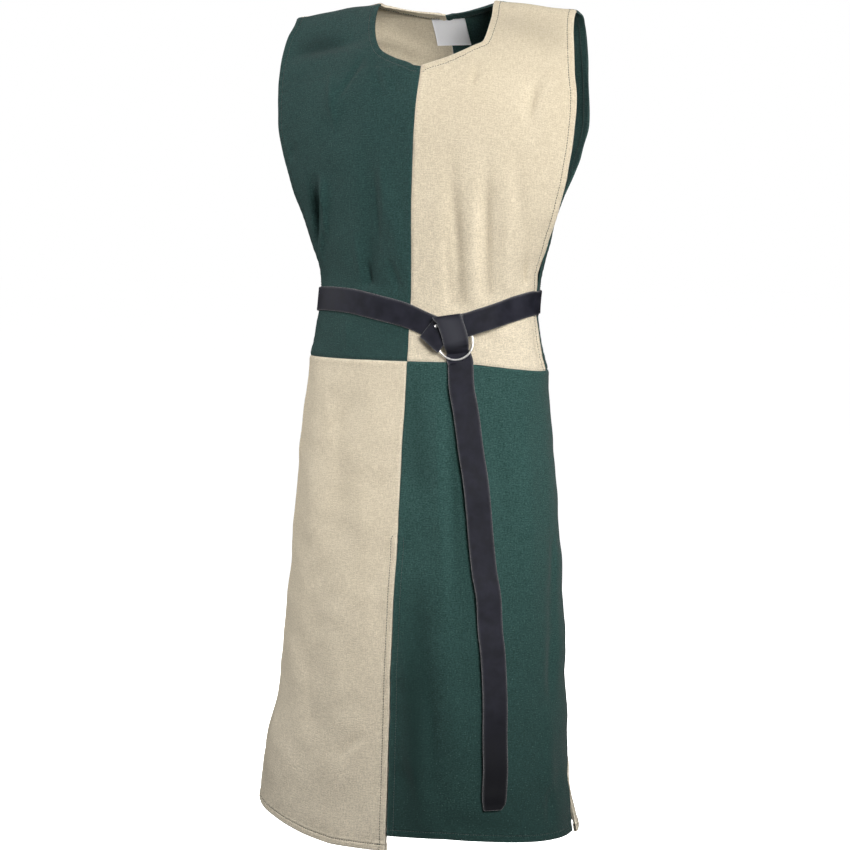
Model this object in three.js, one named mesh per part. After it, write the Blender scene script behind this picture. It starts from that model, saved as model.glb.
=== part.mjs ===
// Quartered tabard with its ring belt, filled out with no wearer.
// Millimetres, +Z up, front faces -Y, the wearer's left is +X.
// The origin lies on the shoulder line, midway between the neck points.
import * as THREE from "three";

const CLOTH_WALL = 1.5;
const SEAM_HALF_GAP = 0.15;
const STRAP_THICKNESS = 3;
const STRAP_HALF_WIDTH = 17.5;
const COLUMNS = 12;

function table(names, rows) {
  const columns = {};
  names.forEach((name, index) => {
    columns[name] = rows.map((row) => row[index]);
  });
  return columns;
}

// Monotone cubic through one column of a table, held flat past its ends.
function smooth(source, name, at, key = "t") {
  const xs = source[key];
  const ys = source[name];
  const last = xs.length - 1;
  const x = Math.min(Math.max(at, xs[0]), xs[last]);
  const slope = (k) => (ys[k + 1] - ys[k]) / (xs[k + 1] - xs[k]);
  const tangent = (k) => {
    if (k === 0) return slope(0);
    if (k === last) return slope(last - 1);
    const before = slope(k - 1);
    const after = slope(k);
    if (before * after <= 0) return 0;
    const left = xs[k] - xs[k - 1];
    const right = xs[k + 1] - xs[k];
    const heavy = 2 * right + left;
    const light = right + 2 * left;
    return (heavy + light) / (heavy / before + light / after);
  };
  let k = 0;
  while (k < last - 1 && x >= xs[k + 1]) k += 1;
  const width = xs[k + 1] - xs[k];
  const u = (x - xs[k]) / width;
  const uu = u * u;
  const uuu = uu * u;
  return (
    ys[k] * (2 * uuu - 3 * uu + 1) +
    tangent(k) * width * (uuu - 2 * uu + u) +
    ys[k + 1] * (3 * uu - 2 * uuu) +
    tangent(k + 1) * width * (uuu - uu)
  );
}

const clamp = (x, low, high) => Math.min(Math.max(x, low), high);
const ramp = (x, low, high) => {
  const u = clamp((x - low) / (high - low), 0, 1);
  return u * u * (3 - 2 * u);
};

// One row per level down the cloth: the centre line (Mid), the wearer's right edge (R) and left
// edge (L), how far the left half is lifted, how square the cross-section is (power, round) and
// how much of the belt's sag it follows.
const STATION = ["t", "xMid", "yMid", "zMid", "lift", "xR", "yR", "zR", "xL", "yL", "zL",
  "power", "round", "dip"];
const SHAPE = {
  front: {
    upper: table(STATION, [
      [0.000, 0, 0, 2, 0, 208, 0, -17, 202, 0, -14, 2.2, 1.0, 0],
      [0.015, 0, -9, 0, 0, 208, -6, -19, 202, -6, -16, 2.2, 1.0, 0],
      [0.04, 0, -20, -7, 0, 209, -12, -26, 202, -13, -23, 2.2, 1.0, 0],
      [0.08, 1, -36, -23, 0, 215, -24, -45, 204, -26, -41, 2.3, 1.0, 0],
      [0.14, 3, -58, -49, 0, 219, -38, -78, 209, -42, -74, 2.4, 1.05, 0],
      [0.20, 5, -82, -76, 0, 220, -48, -110, 213, -52, -105, 2.4, 1.1, 0],
      [0.26, 6, -100, -108, 0, 219, -54, -142, 217, -56, -138, 2.4, 1.1, 0],
      [0.34, 5, -114, -155, 0, 215, -57, -184, 215, -60, -182, 2.4, 1.15, 0],
      [0.44, 3, -119, -215, 0, 202, -58, -240, 207, -62, -240, 2.4, 1.2, 0.1],
      [0.54, 2, -120, -272, 0, 183, -56, -290, 195, -60, -290, 2.3, 1.3, 0.25],
      [0.64, 2, -119, -330, 0, 166, -51, -340, 177, -52, -340, 2.2, 1.5, 0.5],
      [0.74, 2, -117, -385, 0, 154, -45, -387, 162, -44, -387, 2.1, 1.8, 0.8],
      [0.82, 0, -119, -426, 0, 157, -39, -423, 159, -37, -427, 2.0, 2.0, 1.0],
      [0.90, 0, -123, -461, 0, 164, -37, -460, 164, -36, -469, 2.0, 2.0, 0.6],
      [1.00, 0, -128, -497, 0, 172, -35, -497, 174, -35, -511, 2.0, 2.0, 0],
    ]),
    lower: table(STATION, [
      [0.00, 0, -128, -497, 0, 172, -35, -497, 174, -35, -511, 2, 2, 0],
      [0.08, 0, -137, -556, 0, 180, -30, -553, 176, -30, -564, 2, 2, 0],
      [0.17, -1, -146, -619, 0, 187, -29, -615, 182, -29, -624, 2, 2, 0],
      [0.35, -2, -159, -742, 1, 196, -31, -735, 193, -31, -745, 2, 2, 0],
      [0.55, -3, -176, -878, 5, 205, -36, -864, 203, -36, -879, 2, 2, 0],
      [0.75, -3, -188, -1007, 13, 218, -42, -988, 210, -42, -1006, 2, 2, 0],
      [0.88, -3, -194, -1090, 18, 237, -46, -1066, 216, -46, -1087, 2, 2, 0],
      [1.00, -3, -199, -1167, 22, 243, -48, -1139, 226, -48, -1159, 2, 2, 0],
    ]),
  },
  back: {
    upper: table(STATION, [
      [0.00, 0, 0, 2, 0, 208, 0, -17, 202, 0, -14, 2.2, 1.0, 0],
      [0.02, 0, 12, 0, 0, 208, 7, -19, 204, 7, -16, 2.2, 1.0, 0],
      [0.05, 0, 28, -4, 0, 211, 16, -26, 208, 16, -22, 2.2, 1.0, 0],
      [0.09, 0, 45, -13, 0, 210, 27, -41, 209, 27, -37, 2.3, 1.0, 0],
      [0.13, 0, 61, -30, 0, 209, 37, -61, 209, 37, -58, 2.3, 1.0, 0],
      [0.18, 0, 78, -52, 0, 207, 46, -88, 209, 46, -85, 2.4, 1.05, 0],
      [0.24, 0, 92, -82, 0, 206, 54, -120, 209, 54, -118, 2.4, 1.1, 0],
      [0.32, 0, 102, -130, 0, 202, 60, -165, 208, 60, -165, 2.4, 1.15, 0],
      [0.42, 0, 103, -188, 0, 189, 58, -215, 197, 58, -215, 2.4, 1.2, 0],
      [0.54, 0, 95, -258, 0, 169, 44, -275, 176, 42, -275, 2.3, 1.3, 0],
      [0.66, 0, 82, -328, 0, 156, 18, -338, 163, 14, -338, 2.2, 1.5, 0],
      [0.74, 0, 75, -374, 0, 154, -10, -378, 160, -12, -378, 2.1, 1.8, 0],
      [0.82, 0, 69, -417, 0, 157, -37.6, -423, 159, -35.6, -427, 2.0, 2.0, 0],
      [0.90, 0, 72, -459, 0, 164, -36.3, -460, 164, -35.3, -469, 2.0, 2.0, 0],
      [1.00, 0, 80, -505, 0, 172, -35, -497, 174, -35, -511, 2.0, 2.0, 0],
    ]),
    lower: table(STATION, [
      [0.00, 0, 80, -505, 0, 172, -35, -497, 174, -35, -511, 2, 2, 0],
      [0.08, 0, 90, -562, 0, 180, -30, -553, 176, -30, -564, 2, 2, 0],
      [0.17, 0, 97, -622, 0, 187, -29, -615, 182, -29, -624, 2, 2, 0],
      [0.35, 0, 100, -742, 0, 196, -31, -735, 193, -31, -745, 2, 2, 0],
      [0.55, 0, 100, -874, 0, 205, -36, -864, 203, -36, -879, 2, 2, 0],
      [0.75, 0, 98, -1000, 0, 218, -42, -988, 210, -42, -1006, 2, 2, 0],
      [0.88, 0, 97, -1080, 0, 237, -46, -1066, 216, -46, -1087, 2, 2, 0],
      [1.00, 0, 97, -1152, 0, 243, -48, -1139, 226, -48, -1159, 2, 2, 0],
    ]),
  },
};

// Half width of the neck opening on either side of the centre, level by level.
const NECK = {
  front: table(["t", "R", "L"], [
    [0, 83, 85], [0.04, 82, 87], [0.08, 80, 89], [0.13, 74, 88], [0.16, 67, 86],
    [0.185, 58, 68], [0.21, 34, 42], [0.225, 12, 18], [0.237, 0, 0],
  ]),
  back: table(["t", "R", "L"], [
    [0, 83, 85], [0.02, 80, 81], [0.04, 68, 69], [0.06, 48, 48], [0.075, 26, 26], [0.085, 0, 0],
  ]),
};

// Sag of the belt line across the front, as a share of the full sag.
const SAG = table(["x", "share"], [
  [-160, 0], [-120, 0.06], [-60, 0.2], [-10, 0.42], [30, 0.78], [55, 0.97], [65, 1], [75, 0.95],
  [95, 0.72], [120, 0.45], [140, 0.25], [158, 0],
]);
const SAG_DEPTH = -40;

// Side slits: from this level down the back edge stands outside the front edge, more on the left.
const SIDE_SLIT = { start: 0.89, backOut: { R: 2.5, L: 9 }, frontIn: 1.5 };
// The skirt's seam on the wearer's left stands this share of a half width behind the side, and
// comes back to it above the slit.
const SEAM_TURN = { share: 0.17, from: 0.8, to: 0.88 };
// Centre slits: from this level down the edges part by this much at the hem.
const CENTRE_SLIT = { start: 0.38, open: 1.4 };

// Large folds. Each runs from (s0, v0) to (s1, v1), where s is the signed share of the half
// width and v is 0..1 above the waist seam and 1..2 below it. Out is a ridge, a negative one is
// a trough. Width is the reach to either side.
const FOLD = ["s0", "v0", "s1", "v1", "width", "out"];
const FOLDS = {
  front: table(FOLD, [
    [-0.652, 0.469, -0.676, 0.570, 7, 6],
    [-0.676, 0.560, -0.860, 0.709, 7, 5],
    [-0.745, 0.454, -0.873, 0.646, 8, -6],
    [-0.946, 0.137, -0.386, 0.154, 11, -3],
    [-0.611, 0.230, -0.520, 0.354, 15, 3],
    [-0.297, 0.400, -0.293, 0.920, 12, -5],
    [-0.210, 0.463, -0.020, 0.760, 13, 4.5],
    [0.242, 0.395, 0.300, 0.930, 11, -6],
    [0.380, 0.410, 0.400, 0.930, 11, 4],
    [0.467, 0.407, 0.467, 0.920, 10, -5],
    [0.598, 0.453, 0.650, 0.920, 11, 3.5],
    [0.724, 0.222, 0.689, 0.365, 11, -3],
    [-0.333, 0.97, -0.306, 1.450, 20, -3.5],
    [-0.566, 1.00, -0.434, 1.550, 24, 3.5],
    [-0.460, 1.30, -0.343, 1.950, 22, -3.5],
    [-0.800, 1.60, -0.860, 1.990, 20, -6],
    [0.159, 1.00, 0.228, 1.551, 16, 4.5],
    [0.250, 1.12, 0.303, 1.728, 13, -4],
    [0.007, 1.36, 0.161, 1.990, 13, 5],
    [0.070, 1.38, 0.227, 1.880, 13, -5],
    [0.511, 1.10, 0.534, 1.400, 14, -4.5],
    [0.682, 1.02, 0.652, 1.560, 18, 4.5],
    [0.900, 1.32, 0.813, 1.720, 15, -4.5],
    [0.788, 1.70, 0.767, 1.950, 16, 4],
  ]),
  back: table(FOLD, [
    [-0.610, 0.440, -0.560, 0.770, 11, -6],
    [-0.420, 0.380, -0.400, 0.775, 12, 4],
    [-0.200, 0.470, -0.230, 0.775, 10, -5],
    [0.150, 0.500, 0.180, 0.775, 11, 4],
    [0.380, 0.420, 0.340, 0.775, 11, -6],
    [0.620, 0.400, 0.590, 0.775, 12, 4],
    [-0.640, 0.120, -0.200, 0.200, 14, -3],
    [0.650, 0.130, 0.220, 0.190, 14, -3],
    [-0.560, 0.98, -0.480, 1.520, 12, -6],
    [-0.260, 1.00, -0.250, 1.600, 13, 5],
    [-0.120, 1.30, -0.080, 1.990, 12, -5],
    [0.240, 1.00, 0.300, 1.450, 11, -6],
    [0.440, 1.05, 0.420, 1.800, 14, 5],
    [0.660, 1.30, 0.640, 1.990, 13, -5],
    [-0.760, 1.45, -0.780, 1.990, 14, 5],
  ]),
};

// The belt's centre line, read from the ring's side round the back to the other side.
const BELT_LEVEL = {
  front: table(["s", "t"], [
    [-1, 0.808], [-0.42, 0.794], [-0.16, 0.801], [0.06, 0.805], [0.18, 0.808], [0.287, 0.791],
    [0.46, 0.795], [0.63, 0.795], [0.86, 0.799], [1, 0.802],
  ]),
  back: table(["s", "t"], [[-1, 0.808], [-0.5, 0.816], [0, 0.820], [0.5, 0.813], [1, 0.802]]),
};
const BELT_HOLD = { core: 19, edge: 34 };

function station(face, level, s, t) {
  const source = SHAPE[face][level];
  const side = s < 0 ? "R" : "L";
  const get = (name) => smooth(source, name, t);
  const share = Math.min(Math.abs(s), 1);
  const round = get("round");
  const curl = clamp(round - 1, 0, 1);
  const w = (1 - curl) * share + curl * Math.sin((share * Math.PI) / 2);
  const bulge = Math.max(1 - Math.pow(w, get("power")), 0) ** (1 / round);
  let edgeX = get(`x${side}`);
  if (level === "lower") {
    const open = Math.pow(clamp((t - SIDE_SLIT.start) / (1 - SIDE_SLIT.start), 0, 1), 1.5);
    edgeX += open * (face === "back" ? SIDE_SLIT.backOut[side] : -SIDE_SLIT.frontIn);
  }
  const x = edgeX * w * (s < 0 ? -1 : 1) + get("xMid") * (1 - w * w);
  const edgeY = get(`y${side}`);
  const y = edgeY + (get("yMid") - edgeY) * bulge;
  const middle = get("zMid") + (s < 0 ? 0 : get("lift"));
  const fall = Math.pow(Math.max(0, (w - 0.35) / 0.65), 1.25);
  const z = middle + (get(`z${side}`) - middle) * fall
    + SAG_DEPTH * get("dip") * smooth(SAG, "share", x, "x");
  return new THREE.Vector3(x, y, z);
}

// Length of a whole level above and below the waist seam, and their ratio for steps across it.
const LEVEL_LENGTH = { upper: 510, lower: 670 };
const UPPER_TO_LOWER = LEVEL_LENGTH.upper / LEVEL_LENGTH.lower;

// The same surface, carried on past a panel's edge into its neighbour.
function surface(face, level, s, t) {
  const other = face === "front" ? "back" : "front";
  if (level === "upper" && t < 0) return station(other, "upper", s, -t);
  if (level === "upper" && t > 1) return station(face, "lower", s, (t - 1) * UPPER_TO_LOWER);
  if (level === "lower" && t < 0) return station(face, "upper", s, 1 + t / UPPER_TO_LOWER);
  if (level === "lower" && Math.abs(s) > 1) {
    return station(other, level, Math.sign(s) * (2 - Math.abs(s)), t);
  }
  return station(face, level, s, t);
}

function outward(face, level, s, t) {
  const step = 0.004;
  const reach = level === "upper" ? 1 : 2;
  const s0 = Math.max(s - step, -reach);
  const s1 = Math.min(s + step, reach);
  const across = surface(face, level, s1, t).sub(surface(face, level, s0, t));
  const down = surface(face, level, s, Math.min(t + step, level === "lower" ? 1 : 2))
    .sub(surface(face, level, s, t - step));
  const normal = across.cross(down).normalize();
  return face === "front" ? normal.negate() : normal;
}

function beltHold(face, s, t) {
  const line = smooth(BELT_LEVEL[face], "t", s, "s");
  const drop = Math.abs(station(face, "upper", s, t).z - station(face, "upper", s, line).z);
  return ramp(drop, BELT_HOLD.core, BELT_HOLD.edge);
}

const ARC_PER_HALF_WIDTH = 1.25;
const FOLD_LEVEL_LENGTH = 600;
const SHOULDER_FADE = 0.08;
const EDGE_FADE = { from: 0.9, share: 0.75 };

function foldOut(face, level, s, t) {
  const rows = FOLDS[face];
  const v = level === "upper" ? t : 1 + t;
  const halfWidth = smooth(SHAPE[face][level], "xR", t) * ARC_PER_HALF_WIDTH;
  let out = 0;
  rows.s0.forEach((s0, k) => {
    const ds = (rows.s1[k] - s0) * halfWidth;
    const dv = (rows.v1[k] - rows.v0[k]) * FOLD_LEVEL_LENGTH;
    const ps = (s - s0) * halfWidth;
    const pv = (v - rows.v0[k]) * FOLD_LEVEL_LENGTH;
    const length = Math.hypot(ds, dv);
    const along = (ps * ds + pv * dv) / (length * length);
    if (along < 0 || along > 1) return;
    const off = (ps * dv - pv * ds) / length;
    const fade = Math.sin(Math.PI * along);
    out += rows.out[k] * fade * Math.exp(-((off / rows.width[k]) ** 2));
  });
  const edge = 1 - EDGE_FADE.share * ramp(Math.abs(s), EDGE_FADE.from, 1);
  const shoulder = level === "upper" ? ramp(t, 0, SHOULDER_FADE) : 1;
  return out * edge * shoulder * (level === "upper" ? beltHold(face, s, t) : 1);
}

// A point of the cloth's outer face moved out by so many millimetres.
function clothPoint(face, level, s, t, out) {
  const point = surface(face, level, s, t);
  return point.addScaledVector(outward(face, level, s, t), out + foldOut(face, level, s, t));
}

// v runs through both levels, so a strap can cross the waist seam.
function clothPointAt(face, s, v, out) {
  return v <= 1 ? clothPoint(face, "upper", s, v, out) : clothPoint(face, "lower", s, v - 1, out);
}

// Closed solid between two grids of points with the same rows and columns.
function shell(outer, inner) {
  const rows = outer.length;
  const columns = outer[0].length;
  const positions = [];
  [outer, inner].forEach((grid) => grid.forEach((row) => row.forEach((p) => positions.push(p.x, p.y, p.z))));
  const at = (layer, i, j) => layer * rows * columns + i * columns + j;
  const index = [];
  const quad = (a, b, c, d) => index.push(a, b, c, a, c, d);
  for (let i = 0; i < rows - 1; i += 1) {
    for (let j = 0; j < columns - 1; j += 1) {
      quad(at(0, i, j), at(0, i + 1, j), at(0, i + 1, j + 1), at(0, i, j + 1));
      quad(at(1, i, j), at(1, i, j + 1), at(1, i + 1, j + 1), at(1, i + 1, j));
    }
    quad(at(0, i, 0), at(1, i, 0), at(1, i + 1, 0), at(0, i + 1, 0));
    quad(at(0, i, columns - 1), at(0, i + 1, columns - 1), at(1, i + 1, columns - 1), at(1, i, columns - 1));
  }
  for (let j = 0; j < columns - 1; j += 1) {
    quad(at(0, 0, j), at(0, 0, j + 1), at(1, 0, j + 1), at(1, 0, j));
    quad(at(0, rows - 1, j), at(1, rows - 1, j), at(1, rows - 1, j + 1), at(0, rows - 1, j + 1));
  }
  const geometry = new THREE.BufferGeometry();
  geometry.setAttribute("position", new THREE.Float32BufferAttribute(positions, 3));
  geometry.setIndex(index);
  if (signedVolume(positions, index) < 0) {
    for (let k = 0; k < index.length; k += 3) {
      [index[k + 1], index[k + 2]] = [index[k + 2], index[k + 1]];
    }
    geometry.setIndex(index);
  }
  geometry.computeVertexNormals();
  return geometry;
}

function signedVolume(positions, index) {
  const corner = (k) => new THREE.Vector3().fromArray(positions, index[k] * 3);
  let volume = 0;
  for (let k = 0; k < index.length; k += 3) {
    volume += corner(k).dot(corner(k + 1).cross(corner(k + 2))) / 6;
  }
  return volume;
}

// Where the panel starts: at the neck edge, or half a seam gap from the centre line.
function innerShare(face, level, side, t) {
  const sign = side === "R" ? -1 : 1;
  const perShare = surface(face, level, sign * 0.02, t).distanceTo(surface(face, level, 0, t)) / 0.02;
  let gap = SEAM_HALF_GAP;
  if (level === "lower") gap += CENTRE_SLIT.open * ramp(t, CENTRE_SLIT.start, 1);
  const seam = gap / perShare;
  const neck = NECK[face];
  if (level === "lower" || t >= neck.t[neck.t.length - 1]) return seam;
  const target = smooth(neck, side, t);
  let share = target / smooth(SHAPE[face].upper, `x${side}`, t);
  for (let k = 0; k < 6; k += 1) {
    share += (target - Math.abs(station(face, "upper", sign * share, t).x)) / perShare;
  }
  return Math.max(share, seam);
}

// Rows of the panels: close together where the neck and the belt need them.
const BELOW_NECK = [0.26, 0.31, 0.36, 0.41, 0.46, 0.51, 0.56, 0.61, 0.66, 0.7, 0.73, 0.752, 0.768,
  0.784, 0.8, 0.816, 0.832, 0.848, 0.87, 0.9, 0.94, 0.97, 1];
const LEVELS = {
  front: {
    upper: [0, 0.03, 0.06, 0.1, 0.14, 0.175, 0.2, 0.22, 0.237, ...BELOW_NECK],
    lower: [0, 0.03, 0.07, 0.12, 0.17, 0.22, 0.28, 0.34, 0.4, 0.46, 0.52, 0.58, 0.64, 0.7, 0.76, 0.82,
      0.87, 0.92, 0.96, 1],
  },
  back: {
    upper: [0, 0.02, 0.04, 0.06, 0.085, 0.102, 0.118, 0.134, 0.15, 0.175, 0.2, ...BELOW_NECK],
    lower: [0, 0.03, 0.07, 0.12, 0.17, 0.22, 0.28, 0.34, 0.4, 0.46, 0.52, 0.58, 0.64, 0.7, 0.76, 0.82,
      0.87, 0.92, 0.96, 1],
  },
};
const MM_PER_LEVEL = { shoulder: 360, waist: 400, skirt: 700 };

function levels(face, level) {
  const list = [...LEVELS[face][level]];
  if (level === "upper") {
    list[0] = SEAM_HALF_GAP / MM_PER_LEVEL.shoulder;
    list[list.length - 1] = 1 - SEAM_HALF_GAP / MM_PER_LEVEL.waist;
  } else {
    list[0] = SEAM_HALF_GAP / MM_PER_LEVEL.skirt;
  }
  return list;
}

function seamTurn(level, side, t) {
  if (level === "upper" || side === "R") return 0;
  return SEAM_TURN.share * (1 - ramp(t, SEAM_TURN.from, SEAM_TURN.to));
}

function panel(face, level, side) {
  const sign = side === "R" ? -1 : 1;
  const outer = [];
  const inner = [];
  levels(face, level).forEach((t) => {
    const s0 = innerShare(face, level, side, t);
    const nearEdge = surface(face, level, sign * 0.99, t).distanceTo(surface(face, level, sign, t)) / 0.01;
    const turn = seamTurn(level, side, t) * (face === "front" ? 1 : -1);
    const s1 = 1 + turn - SEAM_HALF_GAP / nearEdge;
    const outerRow = [];
    const innerRow = [];
    for (let j = 0; j <= COLUMNS; j += 1) {
      const s = sign * (s0 + ((s1 - s0) * j) / COLUMNS);
      outerRow.push(clothPoint(face, level, s, t, 0));
      innerRow.push(clothPoint(face, level, s, t, -CLOTH_WALL));
    }
    outer.push(outerRow);
    inner.push(innerRow);
  });
  return shell(outer, inner);
}

// A flat band from stations {face, s, v, out}: its width lies across the line it follows.
function band(stations, halfWidth, thickness, across = 3) {
  const centres = stations.map((q) => clothPointAt(q.face, q.s, q.v, q.out));
  const outer = [];
  const inner = [];
  stations.forEach((q, i) => {
    const before = centres[Math.max(i - 1, 0)];
    const after = centres[Math.min(i + 1, centres.length - 1)];
    const along = after.clone().sub(before).normalize();
    const normal = outward(q.face, q.v <= 1 ? "upper" : "lower", q.s, q.v <= 1 ? q.v : q.v - 1);
    const wide = along.clone().cross(normal).normalize();
    const up = wide.clone().cross(along).normalize();
    const outerRow = [];
    const innerRow = [];
    for (let j = 0; j <= across; j += 1) {
      const offset = halfWidth * (q.narrow ?? 1) * ((2 * j) / across - 1) + (q.shift ?? 0);
      const base = centres[i].clone().addScaledVector(wide, offset);
      base.addScaledVector(along, (q.slant ?? 0) * offset * Math.sign(wide.x));
      innerRow.push(base.clone());
      outerRow.push(base.addScaledVector(up, thickness));
    }
    outer.push(outerRow);
    inner.push(innerRow);
  });
  return shell(outer, inner);
}

// The strap lies on the panels: its stations stand on their columns and follow them across.
const STRAP_ENDS = { left: 0.175, right: 0.3 };
const STRAP_ACROSS = 4;
const RING_RISE = { from: 0.68, to: 0.47, height: 12.1 };
const STRAP_OFF_CLOTH = 0.45;

function columnShares() {
  const shares = [];
  for (let j = 1; j <= COLUMNS; j += 1) shares.push(j / COLUMNS);
  return shares;
}

function strapStations() {
  const shares = columnShares();
  const seam = 0.001;
  const stations = [STRAP_ENDS.left, ...shares.filter((s) => s < STRAP_ENDS.left).reverse(), seam, -seam]
    .map((s) => ({ face: "front", s }));
  shares.forEach((s) => stations.push({ face: "front", s: -s }));
  [...shares].reverse().forEach((s) => stations.push({ face: "back", s: -s }));
  stations.push({ face: "back", s: -seam }, { face: "back", s: seam });
  shares.forEach((s) => stations.push({ face: "back", s }));
  shares.filter((s) => s > STRAP_ENDS.right).reverse().forEach((s) => stations.push({ face: "front", s }));
  stations.push({ face: "front", s: STRAP_ENDS.right });
  return stations;
}

function beltWaist() {
  const outer = [];
  const inner = [];
  const stations = strapStations();
  stations.forEach(({ face, s }, k) => {
    const level = smooth(BELT_LEVEL[face], "t", s, "s");
    const above = clothPointAt(face, s, level - 0.01, 0);
    const perLevel = above.distanceTo(clothPointAt(face, s, level + 0.01, 0)) / 0.02;
    const rightStrand = k > stations.length / 2 && face === "front";
    const rise = rightStrand ? ramp(-s, -RING_RISE.from, -RING_RISE.to) * RING_RISE.height : 0;
    const outerRow = [];
    const innerRow = [];
    for (let j = 0; j <= STRAP_ACROSS; j += 1) {
      const offset = STRAP_HALF_WIDTH * ((2 * j) / STRAP_ACROSS - 1);
      const v = level + offset / perLevel;
      innerRow.push(clothPointAt(face, s, v, STRAP_OFF_CLOTH + rise));
      outerRow.push(clothPointAt(face, s, v, STRAP_OFF_CLOTH + rise + STRAP_THICKNESS));
    }
    outer.push(outerRow);
    inner.push(innerRow);
  });
  return shell(outer, inner);
}

// The tail folds over the knot, drops through the ring and hangs down the skirt.
const TAIL = table(["s", "v", "out"], [
  [0.221, 0.767, 16.8], [0.234, 0.774, 17.2], [0.248, 0.787, 17.2], [0.261, 0.803, 17.2],
  [0.270, 0.820, 16.8], [0.277, 0.848, 15.2], [0.279, 0.878, 8.6], [0.279, 0.900, 2.4],
  [0.279, 0.930, 1.0], [0.279, 0.968, 1.3], [0.285, 1.022, 1.8], [0.293, 1.050, 2.6],
  [0.309, 1.077, 3.0], [0.323, 1.106, 3.2],
  [0.343, 1.164, 3.2], [0.366, 1.224, 3.2], [0.380, 1.284, 3.2], [0.391, 1.344, 3.0],
  [0.406, 1.405, 3.0], [0.428, 1.465, 3.0], [0.436, 1.527, 3.0], [0.450, 1.591, 3.0],
  [0.458, 1.691, 3.0], [0.457, 1.758, 3.0], [0.457, 1.825, 3.0], [0.450, 1.881, 3.0],
  [0.446, 1.910, 3.0], [0.445, 1.926, 3.0],
]);

// The fold at the tail's top lies level, though the strap leans: its rows are slanted this much.
const TAIL_SLANT = [0.48, 0.4, 0.26, 0.12];
// Its width inside the ring, and at its rounded tip.
const TAIL_NARROW = new Map([[5, 0.93], [6, 0.86], [7, 0.9], [26, 0.93], [27, 0.72]]);

function beltTail() {
  const count = TAIL.s.length;
  const stations = TAIL.s.map((s, k) => ({
    face: "front", s, v: TAIL.v[k], out: TAIL.out[k], slant: TAIL_SLANT[k] ?? 0,
    narrow: TAIL_NARROW.get(k) ?? 1,
    shift: k === count - 1 ? 2.2 : 0,
  }));
  return band(stations, STRAP_HALF_WIDTH, STRAP_THICKNESS, 2);
}

// The folded end of the strap lies on the left strand and rises over the ring's wire.
const FLAP = table(["s", "v", "out"], [
  [0.109, 0.812, 7.4], [0.136, 0.818, 10.2], [0.161, 0.826, 12.2], [0.186, 0.837, 12.8],
  [0.207, 0.853, 12.8],
]);

function beltFlap() {
  const stations = FLAP.s.map((s, k) => ({
    face: "front", s, v: FLAP.v[k], out: FLAP.out[k], narrow: 0.86,
  }));
  return band(stations, STRAP_HALF_WIDTH, STRAP_THICKNESS - 0.6, 2);
}

// The ring lies across four points of the cloth round the knot.
const RING = { out: 6.8, radius: 24.2, wire: 1.6, around: 28, section: 8 };
const RING_REST = {
  top: [0.249, 0.789], bottom: [0.275, 0.961], left: [0.165, 0.8226], right: [0.372, 0.8226],
};

function beltRing() {
  const rest = (name) => clothPointAt("front", ...RING_REST[name], 0);
  const down = rest("bottom").sub(rest("top"));
  const normal = down.clone().cross(rest("right").sub(rest("left"))).normalize();
  const centre = rest("top").addScaledVector(down, 0.5).addScaledVector(normal, RING.out);
  const geometry = new THREE.TorusGeometry(RING.radius, RING.wire, RING.section, RING.around);
  geometry.applyQuaternion(new THREE.Quaternion().setFromUnitVectors(new THREE.Vector3(0, 0, 1), normal));
  geometry.translate(centre.x, centre.y, centre.z);
  return geometry;
}

const RIVET = { s: 0.162, v: 0.797, out: 13.2, radius: 2.6, height: 1.2, sides: 12 };

function beltRivet() {
  const centre = clothPointAt("front", RIVET.s, RIVET.v, RIVET.out + RIVET.height / 2);
  const [start, next] = [0, 1].map((k) => clothPointAt("front", FLAP.s[k], FLAP.v[k], FLAP.out[k]));
  const along = next.sub(start).normalize();
  const normal = along.clone().cross(outward("front", "upper", RIVET.s, RIVET.v)).cross(along).normalize();
  const geometry = new THREE.CylinderGeometry(RIVET.radius * 0.7, RIVET.radius, RIVET.height, RIVET.sides);
  geometry.applyQuaternion(new THREE.Quaternion().setFromUnitVectors(new THREE.Vector3(0, 1, 0), normal));
  geometry.translate(centre.x, centre.y, centre.z);
  return geometry;
}

// The label lies on the inner face of the back, just under the neck edge.
const LABEL = {
  left: -22, right: 27, top: 0.099, bottom: 0.179, slant: 1, thickness: 1, columns: 6, rows: 9, off: 0.6,
  mmPerShare: 208,
};

function neckLabel() {
  const outer = [];
  const inner = [];
  for (let i = 0; i <= LABEL.rows; i += 1) {
    const t = LABEL.top + ((LABEL.bottom - LABEL.top) * i) / LABEL.rows;
    const outerRow = [];
    const innerRow = [];
    for (let j = 0; j <= LABEL.columns; j += 1) {
      const across = ((LABEL.right - LABEL.left) * j) / LABEL.columns;
      const x = LABEL.left + across + (LABEL.slant * i) / LABEL.rows;
      const s = x / LABEL.mmPerShare;
      const inside = -CLOTH_WALL - LABEL.off;
      outerRow.push(clothPoint("back", "upper", s, t, inside));
      innerRow.push(clothPoint("back", "upper", s, t, inside - LABEL.thickness));
    }
    outer.push(outerRow);
    inner.push(innerRow);
  }
  return shell(outer, inner);
}

const group = new THREE.Group();

function add(name, geometry, color, roughness = 0.9, metalness = 0) {
  const material = new THREE.MeshStandardMaterial({ color, roughness, metalness });
  material.name = `${name}_material`;
  const mesh = new THREE.Mesh(geometry, material);
  mesh.name = name;
  group.add(mesh);
}

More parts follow.
